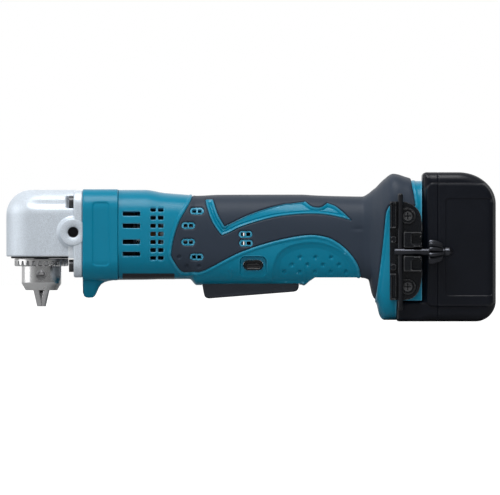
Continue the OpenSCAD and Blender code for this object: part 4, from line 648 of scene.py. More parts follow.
tooth = np.interp((ring_a * RING_TEETH / (2 * np.pi) + 0.25) % 1, [0, 0.28, 0.42, 0.78, 0.92, 1],
                  [0, 0, 1, 1, 0, 0]) * RING_TOOTH_H
RING_IN_R = 12.75
ring_line = [(RING_IN_R, 0.0, 1.0), (RING_R - 0.9, 0.0, 1.0), (RING_R - 0.35, 0.2, 1.0), (RING_R, 0.75, 0.85),
             (RING_R, 3.9, 0.0), (RING_R, RING_H - 0.5, 0.0), (RING_R - 0.35, RING_H - 0.1, 0.0),
             (RING_R - 0.8, RING_H, 0.0), (RING_IN_R, RING_H, 0.0), (RING_IN_R, 0.0, 1.0)]
ring_loops = [columns(r * np.cos(ring_a), r * np.sin(ring_a), RING_Z + z + tooth * cut)
              for r, z, cut in ring_line]
piece("chuck_sleeve_toothed", *rings(ring_loops), "sleeve", "chuck_chrome", chuck_chrome, ["chuck_sleeve"],
      sharp=30.0)
# A dark sheet behind the sleeve's teeth: painted shade in the gaps between them.
valley_line = [(16.9, RING_Z + 3.05), (13.4, RING_Z + 3.05), (13.0, RING_Z + 2.8), (13.0, RING_Z + 0.1)]
piece("sleeve_gap_painted_shade", *turned(valley_line, 96, along_z), "sleeve", "dark_steel", painted_shade_steel)
dress(jaw_steel, "chuck_jaw_1", "chuck_jaw_2", "chuck_jaw_3")

# The motor. Copper windings on a steel stack, a pressed yoke with two magnets, and carbon brushes on a
# moulded plate. The shells clamp it behind the gearbox plate.
copper = finish("wound_copper", (0.62, 0.25, 0.09), 0.35, metal=0.9, grain=2200.0, bump=0.6, mottle=0.15,
                stretch=(3.0, 1.0, 1.0))
ferrite = finish("fired_ferrite", (0.06, 0.06, 0.065), 0.7, bump=0.3, mottle=0.2)
black_plastic = finish("moulded_black_plastic", (0.022, 0.027, 0.037), 0.45, grain=2200.0, bump=0.12,
                       mottle=0.12, edge=0.3)
carbon = finish("pressed_carbon", (0.03, 0.03, 0.032), 0.55, bump=0.3, mottle=0.25)
dress(copper, "windings", "commutator", "battery_contacts")
dress(cut_steel, "armature", "motor_yoke")
dress(ferrite, "magnets")
dress(black_plastic, "fan", "brush_plate", "switch_body", "terminal_block")
dress(carbon, "carbon_brushes")
dress(cast_paint, "gearbox_plate")

# The front cover. A moulded collar between the flange and the shells, with a bare sunk panel on each side
# and a nub under it that holds the work lamp.
# Its sharp edges and beads get a strong painted highlight from the finish's edge lightening.
teal_plastic = finish("moulded_teal_plastic", (0.0004, 0.178, 0.288), 0.3, grain=2400.0, bump=0.08,
                      mottle=0.05, edge=0.8, shine=0.2)
COVER_END_X = 49.1
COVER_W, COVER_H, COVER_CORNER_R, COVER_SAG = 54.6, 58.2, 13.0, 0.5
PANEL_X, PANEL_L, PANEL_H, PANEL_CORNER_R = 38.2, 11.2, 41.0, 2.6
PANEL_STEP = (-0.8, -0.45, 0.0, 0.35), (-0.7, -0.5, -0.08, 0.0)
cover_loop, cover_side = rounded_loop(COVER_W, COVER_H, COVER_CORNER_R, 40)
cover_path, cover_norm = closed(cover_loop), closed(cover_side)
cover_run = run_along(cover_path)
NUB_CORE, NUB_HALF, CAP_INSET, CAP_HOLE_R = 3.8, 10.2, 0.45, 21.4
NUB_X = np.array([26.5, 26.8, 27.4, 28.4, 30.0, 33.0, 34.3, 35.3, 36.6, 38.2, 40.5, 43.0, 46.0, 49.1])
NUB_DROP = np.array([8.4, 9.3, 10.2, 10.9, 11.2, 11.0, 9.9, 8.0, 5.0, 2.6, 1.2, 0.5, 0.0, 0.0])


def rectangle_gap(x, z, mid_x, mid_z, long_, tall, corner):
    """Signed distance from a rectangle with round corners, negative inside it."""
    dx = np.abs(x - mid_x) - long_ / 2 + corner
    dz = np.abs(z - mid_z) - tall / 2 + corner
    return np.hypot(np.maximum(dx, 0), np.maximum(dz, 0)) + np.minimum(np.maximum(dx, dz), 0) - corner


def collar(uv):
    """The collar's section, a rectangle with round corners, drawn along the motor axis: u is the place along
    the axis and v the length round the section. The nub is a drop of its underside, widest in the middle."""
    x, run = uv.T
    y, z = at_run(run, cover_run, cover_path)
    z = z - COVER_SAG
    wide = 1 - blend(np.abs(y), NUB_CORE, NUB_HALF)
    drop = np.interp(x, NUB_X, NUB_DROP) * wide * (z < 0)
    return columns(x, y, z - drop + AXIS_Z)


def panel_gap(uv):
    """Distance from the edge of the sunk panel, negative inside it."""
    p = collar(uv)
    gap = rectangle_gap(p[:, 0], p[:, 2], PANEL_X, AXIS_Z, PANEL_L, PANEL_H, PANEL_CORNER_R)
    return np.where(np.abs(p[:, 1]) > COVER_W / 2 - 3, gap, FAR)


cover_u = in_order(np.linspace(FLANGE_BACK_X, COVER_END_X, 48), FLANGE_BACK_X + np.array([0.15, 0.35, 0.6]),
                   COVER_END_X - np.array([0.12, 0.3, 0.5]))
cover_v = np.linspace(0, cover_run[-1], 421)
uv, faces, _ = creases(grid_triangles(cover_u, cover_v), [(panel_gap, PANEL_STEP[0][::-1])])
at = collar(uv)
facing = outward(collar, uv, [at[:, 0].mean(), 0, AXIS_Z])
lift = np.interp(panel_gap(uv), *PANEL_STEP)
lift += (np.interp(uv[:, 0], [FLANGE_BACK_X, FLANGE_BACK_X + 0.6], [-0.45, 0])
         + np.interp(uv[:, 0], [COVER_END_X - 0.5, COVER_END_X], [0, -0.5]))
at = at + facing * lift[:, None]
caps = []
for x in (FLANGE_BACK_X, COVER_END_X):
    rim = collar(columns(x, cover_v)) - columns(0.0, *at_run(cover_v, cover_run, cover_norm)) * CAP_INSET
    ring_a = np.arctan2(rim[:, 2] - AXIS_Z, rim[:, 1])
    hole = columns(x, CAP_HOLE_R * np.cos(ring_a), CAP_HOLE_R * np.sin(ring_a) + AXIS_Z)
    cap_faces = mesh_faces(2, len(cover_v))
    caps.append((np.vstack([rim, hole]), cap_faces if x == COVER_END_X else cap_faces[:, ::-1]))
piece("front_collar", *together((at, faces), *caps), "body", "teal_plastic", teal_plastic, ["front_cover"],
      sharp=42.0)

# The work lamp. A clear moulded lens with a domed face, pressed into the nub's front face, in a black
# moulded ring.
clear_lens = finish("clear_lamp_lens", (0.85, 0.9, 0.95), 0.08, bump=0.02, mottle=0.02)
clear_lens.node_tree.nodes["Principled BSDF"].inputs["Transmission Weight"].default_value = 0.6
LENS_X, LENS_Z, LENS_R = FLANGE_BACK_X, -35.2, 2.5
DOME_R, LENS_HOLE_R = LENS_R * 0.92, LENS_R * 0.93
dome = np.linspace(0, np.pi / 2, 9)
lens_line = [(DOME_R * np.sin(a), LENS_X + 0.55 - 0.6 * np.cos(a)) for a in dome]
lens_line += [(DOME_R, LENS_X + 2.0), (0.0, LENS_X + 2.0)]
piece("lamp_dome", *turned(lens_line, 48, along_x(0.0, LENS_Z)), "body", "lens", clear_lens, ["lamp_lens"])
ring_line = [(LENS_HOLE_R, LENS_X + 0.8), (LENS_HOLE_R, LENS_X + 0.2), (LENS_R + 0.1, LENS_X - 0.02),
             (LENS_R + 0.5, LENS_X + 0.1), (LENS_R + 0.6, LENS_X + 0.8), (LENS_HOLE_R, LENS_X + 0.8)]
piece("lamp_ring", *turned(ring_line, 48, along_x(0.0, LENS_Z)), "body", "dark_plastic", black_plastic)

# The two shells and their soft covers. Each shell is moulded in teal plastic with vents and framed holes,
# and a grey soft cover is moulded over it, flush but for a groove along its edge and a teal stripe left bare.
BODY_X, BARREL_L, HANDLE_X, HANDLE_L, FOOT_X, FOOT_L = 49.1, 48.0, 97.1, 108.0, 205.1, 38.0
FOOT_END_X = FOOT_X + FOOT_L
BARREL_W, BARREL_RISE, BARREL_DROP = 54.0, 28.2, 29.4
HANDLE_W, HANDLE_RISE, HANDLE_DROP, BULGE_DROP = 47.6, 24.8, 27.8, 4.9
FOOT_W, FOOT_RISE, FOOT_DROP, ROUNDNESS, FOOT_ROUNDNESS = 73.0, 38.4, 55.0, 3.2, 5.0
SHELL_WALL, RIB_DEPTH = 2.5, 2.2
barrel = np.array([[0, 0, 0, 0], [0.36, 0, 0, 0.1], [0.62, 0.12, 0.58, 0.3], [0.95, 0.42, 0.96, 0.35]])
handle = np.array([[0.02, 1, 0.975, 0.44], [0.16, 0.96, 1, 0.48], [0.64, 0.95, 1.005, 1],
                   [0.655, 1.06, 1.003, 1], [0.685, 0.55, 0.995, 1], [0.722, 0, 0.985, 1],
                   [0.86, 0, 0.965, 1], [1, 0, 0.955, 1]])
foot = np.array([[0.115, 0.1, 0.07, 0.045], [0.17, 0.2, 0.2, 0.37], [0.235, 0.38, 0.34, 0.58],
                 [0.3, 0.55, 0.53, 0.91], [0.37, 0.72, 0.72, 1], [0.524, 0.97, 0.99, 1], [0.6, 1, 0.96, 1],
                 [0.708, 1, 0.86, 1], [0.8, 1, 0.78, 1], [0.853, 1, 0.67, 1], [1, 1, 0.67, 1]])
barrel_at = columns(BODY_X + barrel[:, 0] * BARREL_L, mix(BARREL_W, HANDLE_W, barrel[:, 1]) / 2,
                    mix(BARREL_RISE, HANDLE_RISE, barrel[:, 2]), -mix(BARREL_DROP, HANDLE_DROP, barrel[:, 3]),
                    ROUNDNESS)
handle_at = columns(HANDLE_X + handle[:, 0] * HANDLE_L, mix(BARREL_W, HANDLE_W, handle[:, 3]) / 2,
                    HANDLE_RISE * handle[:, 2], -HANDLE_DROP - handle[:, 1] * BULGE_DROP, ROUNDNESS)
foot_at = columns(FOOT_X + foot[:, 0] * FOOT_L, mix(HANDLE_W, FOOT_W, foot[:, 1]) / 2,
                  mix(HANDLE_RISE, FOOT_RISE, foot[:, 2]), -mix(HANDLE_DROP, FOOT_DROP, foot[:, 3]),
                  mix(ROUNDNESS, FOOT_ROUNDNESS, foot[:, 1]))
stations = np.vstack([barrel_at, handle_at, foot_at])


def smooth_through(x, xs, ys):
    """A curve through stations that never overshoots: cubic pieces whose slope at a station is the harmonic
    mean of the slopes beside it, or zero at a turning point."""
    step, rise = np.diff(xs), np.diff(ys) / np.diff(xs)
    product = rise[:-1] * rise[1:]
    inner = np.where(product > 0, 2 * product / np.where(product > 0, rise[:-1] + rise[1:], 1), 0)
    slope = np.concatenate([[rise[0]], inner, [rise[-1]]])
    k = np.clip(np.searchsorted(xs, x) - 1, 0, len(step) - 1)
    t = (x - xs[k]) / step[k]
    return (ys[k] * (1 + 2 * t) * (1 - t) ** 2 + ys[k + 1] * t * t * (3 - 2 * t)
            + step[k] * t * (1 - t) * (slope[k] * (1 - t) - slope[k + 1] * t))


TURN = 26.0
SCOOP_X = HANDLE_X + HANDLE_L * 0.6


def section(x):
    """The half width, top, underside and roundness of the shells at places along the motor axis."""
    return [smooth_through(x, stations[:, 0], stations[:, k]) for k in (1, 2, 3, 4)]


def full_oval(uv):
    """One half of the shells, on the near side of the middle plane: u is the place along the motor
    axis, and v the turn from the underside to the top, times a length. The section is a superellipse whose
    width, top, underside and roundness run smoothly through the stations. Behind the trigger it keeps the
    trigger's depth, and the true underside, given beside it, cuts it flat."""
    x = np.clip(uv[:, 0], BODY_X - 1, FOOT_END_X + 1)
    a = np.clip(uv[:, 1] / TURN, -np.pi / 2, np.pi / 2)
    half, top, low, power = section(x)
    deep = np.where(x > SCOOP_X, np.minimum(low, -HANDLE_DROP - 0.95 * BULGE_DROP), low)
    c, s = np.cos(a), np.sin(a)
    across = np.maximum(c, 0) ** (2 / power)
    up = np.sign(s) * np.abs(s) ** (2 / power)
    return columns(x, -half * across, mix(deep, top, (1 + up) / 2) + AXIS_Z), low + AXIS_Z


def oval(uv):
    """The same half with its underside cut flat where the true one is higher."""
    p, low = full_oval(uv)
    p[:, 2] = np.maximum(p[:, 2], low)
    return p


def smooth_line(points, steps=6):
    """A smooth open curve through points, each piece a cubic led by its neighbours."""
    p = np.vstack([points[:1], points, points[-1:]])
    t = (np.arange(steps) / steps)[None, :, None]
    a, b, c, d = (p[k:len(p) - 3 + k, None] for k in range(4))
    bend, twist = 2 * a - 5 * b + 4 * c - d, 3 * b - a - 3 * c + d
    curve = b + (c - a) * t / 2 + bend * t ** 2 / 2 + twist * t ** 3 / 2
    return np.vstack([curve.reshape(-1, 2), points[-1:]])


def on_handle(shares):
    """Shares of the handle's length and height as places in the side view."""
    return np.array(shares) * [HANDLE_L, HANDLE_RISE] + [HANDLE_X, AXIS_Z]


def line_gap(x, z, line):
    """Distance in the side view from an open line."""
    near = np.full(len(x), 1e9)
    for (ax, az), (bx, bz) in zip(line[:-1], line[1:]):
        dx, dz = bx - ax, bz - az
        t = np.clip(((x - ax) * dx + (z - az) * dz) / max(dx * dx + dz * dz, 1e-12), 0, 1)
        near = np.minimum(near, (x - ax - t * dx) ** 2 + (z - az - t * dz) ** 2)
    return np.sqrt(near)


def outline_gap(x, z, line):
    """Signed distance in the side view from a closed line, negative inside it: the sign comes from how often
    a ray crosses the line."""
    inside = np.zeros(len(x), bool)
    for (ax, az), (bx, bz) in zip(line, np.roll(line, -1, axis=0)):
        if bz != az:
            inside ^= ((az > z) != (bz > z)) & (x < ax + (z - az) * (bx - ax) / (bz - az))
    return line_gap(x, z, closed(line)) * np.where(inside, -1, 1)


grip_front = [[0, 1.2], [-0.004, 0.97], [-0.038, 0.66], [-0.084, 0.29], [-0.118, -0.19], [-0.13, -0.56]]
grip_sweep = [[-0.118, -0.68], [-0.067, -0.976], [0, -0.984], [0.068, -0.94], [0.28, -0.468], [0.49, -0.17],
              [0.67, -0.028], [0.766, -0.056], [0.83, -0.153], [0.894, -0.347], [0.946, -0.6], [0.979, -0.85],
              [0.991, -1.105]]
grip_rest = [[0.997, -1.7], [1.075, -1.7], [1.081, -1.54], [1.089, -1.31], [1.108, -0.67], [1.125, -0.026],
             [1.136, 0.49], [1.142, 0.6], [1.158, 0.733], [1.314, 0.72], [1.299, 1.137], [1.291, 1.39],
             [1.285, 1.9], [0, 1.9]]
grip_line = np.vstack([smooth_line(on_handle(grip_front)), smooth_line(on_handle(grip_sweep)),
                       on_handle(grip_rest)])
stripe_parts = [
    [[0.073, 0.89], [0.084, 0.66], [0.11, 0.34], [0.142, 0.11], [0.17, -0.04]],
    [[0.17, -0.04], [0.216, 0.04], [0.28, 0.177], [0.385, 0.327], [0.49, 0.44], [0.6, 0.5], [0.7, 0.52],
     [0.8, 0.49], [0.895, 0.4], [0.936, 0.35]],
    [[0.936, 0.35], [0.895, 0.532], [0.844, 0.714], [0.792, 0.802]],
    [[0.792, 0.802], [0.766, 0.714], [0.741, 0.685], [0.702, 0.714], [0.664, 0.839]],
    [[0.664, 0.839], [0.573, 0.786], [0.544, 0.778], [0.438, 0.66], [0.332, 0.5], [0.253, 0.339],
     [0.186, 0.198]],
    [[0.186, 0.198], [0.147, 0.5], [0.118, 0.89]]]
stripe_end = on_handle([[0.118, 0.89], [0.073, 0.89]])
stripe_curves = [smooth_line(on_handle(part)) for part in stripe_parts]
stripe_line = np.vstack([curve[:-1] for curve in stripe_curves] + [stripe_end[:1]])
stripe_beads = [stripe_curves[k] for k in (0, 1, 2, 3, 5)] + [stripe_end]
stripe_top = stripe_curves[4]
PILL_L, PILL_H, PILL_HOLE_L, PILL_HOLE_H = 8.6, 4.3, 2.7, 2.3
pill_mid = on_handle([[0.023, 0.593], [-0.028, 0.214], [-0.029, -0.21], [0.021, -0.593], [0.31, -0.008],
                      [0.313, -0.238]])
pill_holes = np.vstack([pill_mid + [way * 0.2 * PILL_L, 0] for way in (-1, 1)])
LONG_VENT_L, LONG_VENT_H, SHORT_VENT_L, SHORT_VENT_H = 11.2, 3.0, 3.6, 2.7
long_vents = np.array([[BODY_X + 0.18 * BARREL_L, AXIS_Z + BARREL_RISE * k]
                       for k in (0.465, 0.185, -0.18, -0.457)])
short_vents = np.array([[BODY_X + BARREL_L * k, AXIS_Z + 5.2 * row] for k in (0.469, 0.571)
                        for row in range(-3, 4)])
BAR_X, BAR_Z, BAR_L, BAR_H = HANDLE_X + HANDLE_L * 0.355, AXIS_Z - HANDLE_DROP * 0.716, 12.6, 6.2
FRONT_SCREW_X = BODY_X + BARREL_L * 0.36
shell_screws = np.array([
    [FRONT_SCREW_X, BARREL_RISE - 2.6 - 1.96], [FRONT_SCREW_X, -BARREL_DROP + 2.6 + 2.24],
    [HANDLE_X + HANDLE_L * 0.715, HANDLE_RISE * 0.68], [HANDLE_X + HANDLE_L * 0.735, -HANDLE_DROP * 0.72],
    [FOOT_X + FOOT_L * 0.37, FOOT_RISE * 0.56], [FOOT_X + FOOT_L * 0.42, -FOOT_DROP * 0.8]]) + [0, AXIS_Z]
SHELL_SCREW_R = 3.0
TRIGGER_X, TRIGGER_L, TRIGGER_W = HANDLE_X + HANDLE_L * 0.054, 61.8, 21.0
scoop_line = smooth_line(np.array([[147.2, 17.0], [147.4, 20.2], [148.6, 27.8], [152.0, 34.4], [158.8, 38.8],
                                   [169.9, 41.2], [180.5, 40.4], [190.5, 36.2], [197.0, 30.0], [200.0, 22.5],
                                   [200.6, 14.0]]), 5)
scoop_line = np.vstack([scoop_line, [[200.6, 5.0], [147.2, 5.0]]])
finger_rows = ((31.324, (165.44, 175.36, 185.28)), (26.524, (160.32, 170.176, 180.16, 190.272)),
               (21.98, (155.392, 165.184, 175.04, 185.024, 194.88)))
grip_dents = [(88.192, 31.58), (92.992, 25.692), (100.8, 25.82)]
dents_at = np.array([(x, z) for z, row in finger_rows for x in row] + grip_dents)
DENT_R, TOP_BEAD_THIN = 1.7, 3.6
NOTCH_L, NOTCH_DROP, NOTCH_H = 16.3, 55.8, 13.4
arrow_line = np.array([[120.96, 26.076], [123.328, 22.492], [121.664, 22.876], [121.664, 18.012],
                       [120.256, 18.012], [120.256, 22.876], [118.592, 22.492]])
RECESS_X, RECESS_Z, RECESS_L, RECESS_H, RECESS_R, RECESS_DEPTH = 135.5, 25.4, 17.2, 13.6, 3.6, 3.2


def nearest(x, z, mids, long_, tall, corner):
    """Distance from the nearest of several like rectangles with round corners."""
    gap = np.full(len(x), FAR)
    for mx, mz in mids:
        gap = np.minimum(gap, rectangle_gap(x, z, mx, mz, long_, tall, corner))
    return gap


def on_side(measure, *sizes):
    """A measure of the side view as a function of the place on the oval."""
    return lambda uv: measure(*oval(uv)[:, ::2].T, *sizes)


grip_gap, stripe_gap, scoop_gap, arrow_gap = (
    on_side(outline_gap, line) for line in (grip_line, stripe_line, scoop_line, arrow_line))
dent_gap = on_side(nearest, dents_at, 0.0, 0.0, 0.0)
pill_gap = on_side(nearest, pill_mid, PILL_L, PILL_H, 2.0)
hole_gap = on_side(nearest, pill_holes, PILL_HOLE_L, PILL_HOLE_H, 0.6)
long_vent_gap = on_side(nearest, long_vents, LONG_VENT_L, LONG_VENT_H, 0.5)
short_vent_gap = on_side(nearest, short_vents, SHORT_VENT_L, SHORT_VENT_H, 0.6)
vent_gap = lambda uv: np.minimum(long_vent_gap(uv), short_vent_gap(uv))
screw_gap = on_side(nearest, shell_screws, 2 * SHELL_SCREW_R, 2 * SHELL_SCREW_R, SHELL_SCREW_R)
recess_gap = on_side(rectangle_gap, RECESS_X, RECESS_Z, RECESS_L, RECESS_H, RECESS_R)
bar_gap = on_side(rectangle_gap, BAR_X, BAR_Z, BAR_L + 0.24, BAR_H + 0.24, 3.2)
bead_lines = [on_side(line_gap, line) for line in stripe_beads]
top_bead = on_side(line_gap, stripe_top)
bead_gap = lambda uv: np.min([gap(uv) for gap in bead_lines] + [TOP_BEAD_THIN * top_bead(uv)], axis=0)
low_gap = lambda uv: np.where(stripe_gap(uv) < 0.1, bead_gap(uv), FAR)


def under_gap(uv):
    """Height above the true underside of the shells."""
    p, low = full_oval(uv)
    return p[:, 2] - low


def trigger_gap(uv):
    """Distance from the edge of the trigger's opening, negative inside it."""
    x, y, z = oval(uv).T
    half_l, half_w = TRIGGER_L / 2, TRIGGER_W / 2
    gap = np.maximum(np.abs(x - TRIGGER_X - half_l) - half_l - 0.3, np.abs(y) - half_w - 0.3)
    return np.where(z < AXIS_Z - 20, gap, FAR)


def lip_gap(uv):
    """Distance from the edge of the notch for the battery's lip, negative inside it."""
    x, _, z = oval(uv).T
    return np.maximum(FOOT_END_X - NOTCH_L - x, z - (AXIS_Z - NOTCH_DROP + NOTCH_H))


def edge_walls(faces, n):
    """Walls from the edges that only one face uses to the like points that are numbered n higher."""
    sides = np.stack([faces, np.roll(faces, -1, axis=1)], axis=-1).reshape(-1, 2)
    _, first, count = np.unique(np.sort(sides, axis=1) @ [n, 1], return_index=True, return_counts=True)
    a, b = sides[first[count == 1]].T
    return np.vstack([columns(b, a, a + n), columns(b, a + n, b + n)])

GRIP_RIM = (0.0, 0.4, 1.0, 1.8, 2.4), (-0.6, 0.2, 0.5, 0.42, 0.0)
STRIPE_EDGE, PILL_SINK = ((0.0, 0.35), (-0.6, 0.5)), 0.25
STRIPE_BEAD = (0.0, 0.3, 0.5, 1.6, 1.9, 2.3), (-0.5, 0.3, 0.45, -0.3, -0.75, -0.4)
VENT_RIM, ARROW_LIFT = ((0.0, 0.4), (-0.3, 0.0)), ((0.0, 0.25), (0.0, 0.22))
SCOOP_DEPTHS, SCOOP_FADE = ((0.0, 0.5, 1.4, 4.0, 10.0), (0.0, 0.25, 0.8, 1.6, 2.1)), (11.0, 16.0)
DENT_DEPTHS = (0.0, 0.5, 1.0, DENT_R), (1.25, 1.05, 0.45, 0.0)
SOFT_EDGE = (0.0, 0.4, 0.9), (-0.55, 0.12, 0.3)
SPLIT_DIP, FRONT_DIP = ((0.0, 0.5), (-0.25, 0.0)), ((0.0, 0.4), (-0.5, 0.0))
FOLD_X, FOLD_Z, FOLD_L, FOLD_H, FOLD_DEPTH = 202.6, 49.5, 3.4, 1.2, 0.4
SAMPLE_X = 150.0


def half_shell(side):
    """One shell and its cover as two trimmed surfaces on the same oval half. The grid is cut along the
    cover's edge, the stripe, the framed holes, the vents and the openings. Each part then gets its own lift
    along the normal, such as grooves, rims, scoop and dents, and a wall inside, joined by its rims."""
    u = in_order(np.linspace(BODY_X, FOOT_END_X - 0.1, 310), BODY_X + np.array([0.15, 0.4]))
    fine = np.linspace(-np.pi / 2, np.pi / 2, 1601)
    sample = oval(columns(SAMPLE_X, fine * TURN))
    run = run_along(sample)
    v = np.interp(np.linspace(0, run[-1], 190), run, fine) * TURN
    openings = [hole_gap, vent_gap, bar_gap, trigger_gap, lip_gap] + [screw_gap] * (side > 0)
    cuts = [(grip_gap, (*GRIP_RIM[0], -0.4, -0.9)), (stripe_gap, (*SOFT_EDGE[0], -0.35)),
            (low_gap, (0.5, 1.6, 1.9, 2.3)), (pill_gap, SOFT_EDGE[0]), (hole_gap, (0.0,)),
            (vent_gap, VENT_RIM[0]), (recess_gap, (0.0, -0.6)), (bar_gap, (0.0,)), (arrow_gap, (0.0, -0.25)),
            (scoop_gap, (0.0, -1.4)), (under_gap, (0.0, 0.5)), (dent_gap, (DENT_R, 1.0, 0.5)),
            (trigger_gap, (0.0,)), (lip_gap, (0.0,))]
    if side > 0:
        cuts.append((screw_gap, (0.0,)))
    uv, faces, _ = creases(grid_triangles(u, v), cuts)
    mid = uv[faces].mean(1)
    covered = (grip_gap(mid) < 0) & (stripe_gap(mid) > 0) & (pill_gap(mid) > 0)
    open_ = np.min([gap(mid) for gap in openings], axis=0) < 0
    base = oval(uv)
    x, y, z = base.T
    facing = outward(oval, uv, columns(x, 0, AXIS_Z))
    grip, stripe, pill = (gap(uv) for gap in (grip_gap, stripe_gap, pill_gap))
    seam = np.interp(np.abs(y), *SPLIT_DIP) + np.interp(x - BODY_X, *FRONT_DIP)
    bare = np.interp(grip, *GRIP_RIM)
    panel = np.interp(bead_gap(uv), *STRIPE_BEAD)
    bare = np.where(stripe < 0, np.minimum(panel, np.interp(-stripe, *STRIPE_EDGE)), bare)
    bare = np.where(pill < 0, -PILL_SINK, bare)
    bare += np.interp(vent_gap(uv), *VENT_RIM)
    slope = np.clip((z - (RECESS_Z - RECESS_H / 2)) / RECESS_H, 0, 1)
    press = RECESS_DEPTH * slope ** 0.8 * np.interp(recess_gap(uv), [-0.6, 0.0], [1, 0.0])
    scoop = np.interp(-scoop_gap(uv), *SCOOP_DEPTHS)
    press += scoop * blend(np.abs(y), *SCOOP_FADE)
    bare += np.interp(-arrow_gap(uv), *ARROW_LIFT)
    dents = np.interp(dent_gap(uv), *DENT_DEPTHS)
    bare -= dents
    edge = np.minimum(np.minimum(-grip, stripe), pill)
    soft = np.interp(edge, *SOFT_EDGE)
    soft -= dents + FOLD_DEPTH * np.exp(-((x - FOLD_X) / FOLD_L) ** 2 - ((z - FOLD_Z) / FOLD_H) ** 2)
    made = []
    for lift, sunk, chosen in ((bare, press, ~covered & ~open_), (soft, 0 * press, covered & ~open_)):
        inwards = columns(0, sunk, 0)
        outer = base + facing * (lift + seam)[:, None] + inwards
        skin = faces[chosen]
        inner = base + facing * (np.minimum(lift, 0) - SHELL_WALL)[:, None] + inwards
        n = len(uv)
        both = np.vstack([skin, skin[:, ::-1] + n, edge_walls(skin, n)])
        points, all_faces = used(np.vstack([outer, inner]), both)
        if side > 0:
            points = points * [1, -1, 1]
        made.append((points, all_faces))
    return made


def depth_below(points):
    """How deep points lie under the oval outside of the shells, along the line from its middle."""
    half, top, low, power = section(points[:, 0])
    mid_z, tall = (top + low) / 2 + AXIS_Z, (top - low) / 2
    wide, high = np.abs(points[:, 1] / half), np.abs((points[:, 2] - mid_z) / tall)
    share = (wide ** power + high ** power) ** (1 / power)
    return np.hypot(points[:, 1], points[:, 2] - mid_z) * (1 / np.maximum(share, 1e-6) - 1)


def solid_faces(name):
    """A frame solid as joined points in millimetres and triangles."""
    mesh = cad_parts[name].data
    mesh.calc_loop_triangles()
    points = np.empty(len(mesh.vertices) * 3, np.float32)
    mesh.vertices.foreach_get("co", points)
    triangles = np.empty(len(mesh.loop_triangles) * 3, np.int32)
    mesh.loop_triangles.foreach_get("vertices", triangles)
    points = points.reshape(-1, 3).astype(float) / MM
    _, first, joined = np.unique(np.round(points, 3), axis=0, return_index=True, return_inverse=True)
    return points[first], joined.reshape(-1)[triangles].reshape(-1, 3)


grip_rubber = finish("soft_grip_cover", (0.023, 0.033, 0.050), 0.5, grain=3000.0, bump=0.22, mottle=0.08,
                     shine=0.22)
for side, name in ((-1, "left"), (1, "right")):
    bare_part, soft_part = half_shell(side)
    piece(f"shell_{name}", *bare_part, "body", "teal_plastic", teal_plastic, [f"housing_{name}"], sharp=40.0)
    points, faces = solid_faces(f"housing_{name}")
    faces = faces[(depth_below(points)[faces] > RIB_DEPTH).any(1)]
    piece(f"shell_{name}_ribs", *used(points, faces), "body", "teal_plastic", teal_plastic, sharp=30.0)
    piece(f"grip_cover_{name}", *soft_part, "body", "soft_grip", grip_rubber, [f"grip_{name}"], sharp=40.0)

# The bare label strip. A dark foil, glued along the underside of the barrel on the left shell only.
label_foil = finish("bare_label_foil", (0.012, 0.012, 0.017), 0.3, grain=900.0, bump=0.03, mottle=0.15)
LABEL_X, LABEL_END_X, LABEL_TOP, LABEL_LOW = 52.0, 85.2, -25.2, -28.9
LABEL_LONG, LABEL_HIGH = 60, 12
strip_x = np.linspace(LABEL_X, LABEL_END_X, LABEL_LONG)
strip_z = np.linspace(LABEL_LOW, LABEL_TOP, LABEL_HIGH) + AXIS_Z
turns = np.linspace(-np.pi / 2, 0, 700) * TURN
strip_v = [np.interp(strip_z, oval(columns(x, turns))[:, 2], turns) for x in strip_x]
uv = columns(np.repeat(strip_x, LABEL_HIGH), np.concatenate(strip_v))
facing = outward(oval, uv, oval(uv) + [0, 1, 0])
strip = np.concatenate([oval(uv) + facing * lift for lift in (0.09, 0.02)])
strip_faces = mesh_faces(LABEL_LONG, LABEL_HIGH)
piece("bare_label_strip", strip, [strip_faces, strip_faces[:, ::-1] + LABEL_LONG * LABEL_HIGH], "body",
      "dark_plastic", label_foil)

# The switch. A long black paddle under the handle, hinged at its rear end, and a push bar through the
# shells that sets the direction of turn: a pill with a sunk ring round each end's pad.
PADDLE_TOP, PADDLE_FRONT, PADDLE_REAR = -28.1, 8.9, 4.0
paddle_shares = np.array([[0, 0], [0.02, 0.72], [0.04, 0.92], [0.07, 1], [0.94, 1], [0.975, 0.9],
                          [0.995, 0.5], [1, 0]])
paddle_along, paddle_deep = paddle_shares.T
paddle_edge = columns(TRIGGER_X + paddle_along * TRIGGER_L, AXIS_Z - HANDLE_DROP - BULGE_DROP
                      - mix(PADDLE_FRONT, PADDLE_REAR, paddle_along) * paddle_deep)
paddle_top = np.array([[TRIGGER_X + TRIGGER_L, AXIS_Z + PADDLE_TOP], [TRIGGER_X, AXIS_Z + PADDLE_TOP]])


def loop_sides(loop):
    """The outward direction at each point of a closed loop that runs against the clock."""
    along = np.roll(loop, -1, axis=0) - np.roll(loop, 1, axis=0)
    return columns(along[:, 1], -along[:, 0]) / np.linalg.norm(along, axis=1, keepdims=True)


def across_tool(flat, y):
    """Places a plate that is drawn in the side view, at y across the tool."""
    return columns(flat[:, 0], y, flat[:, 1])


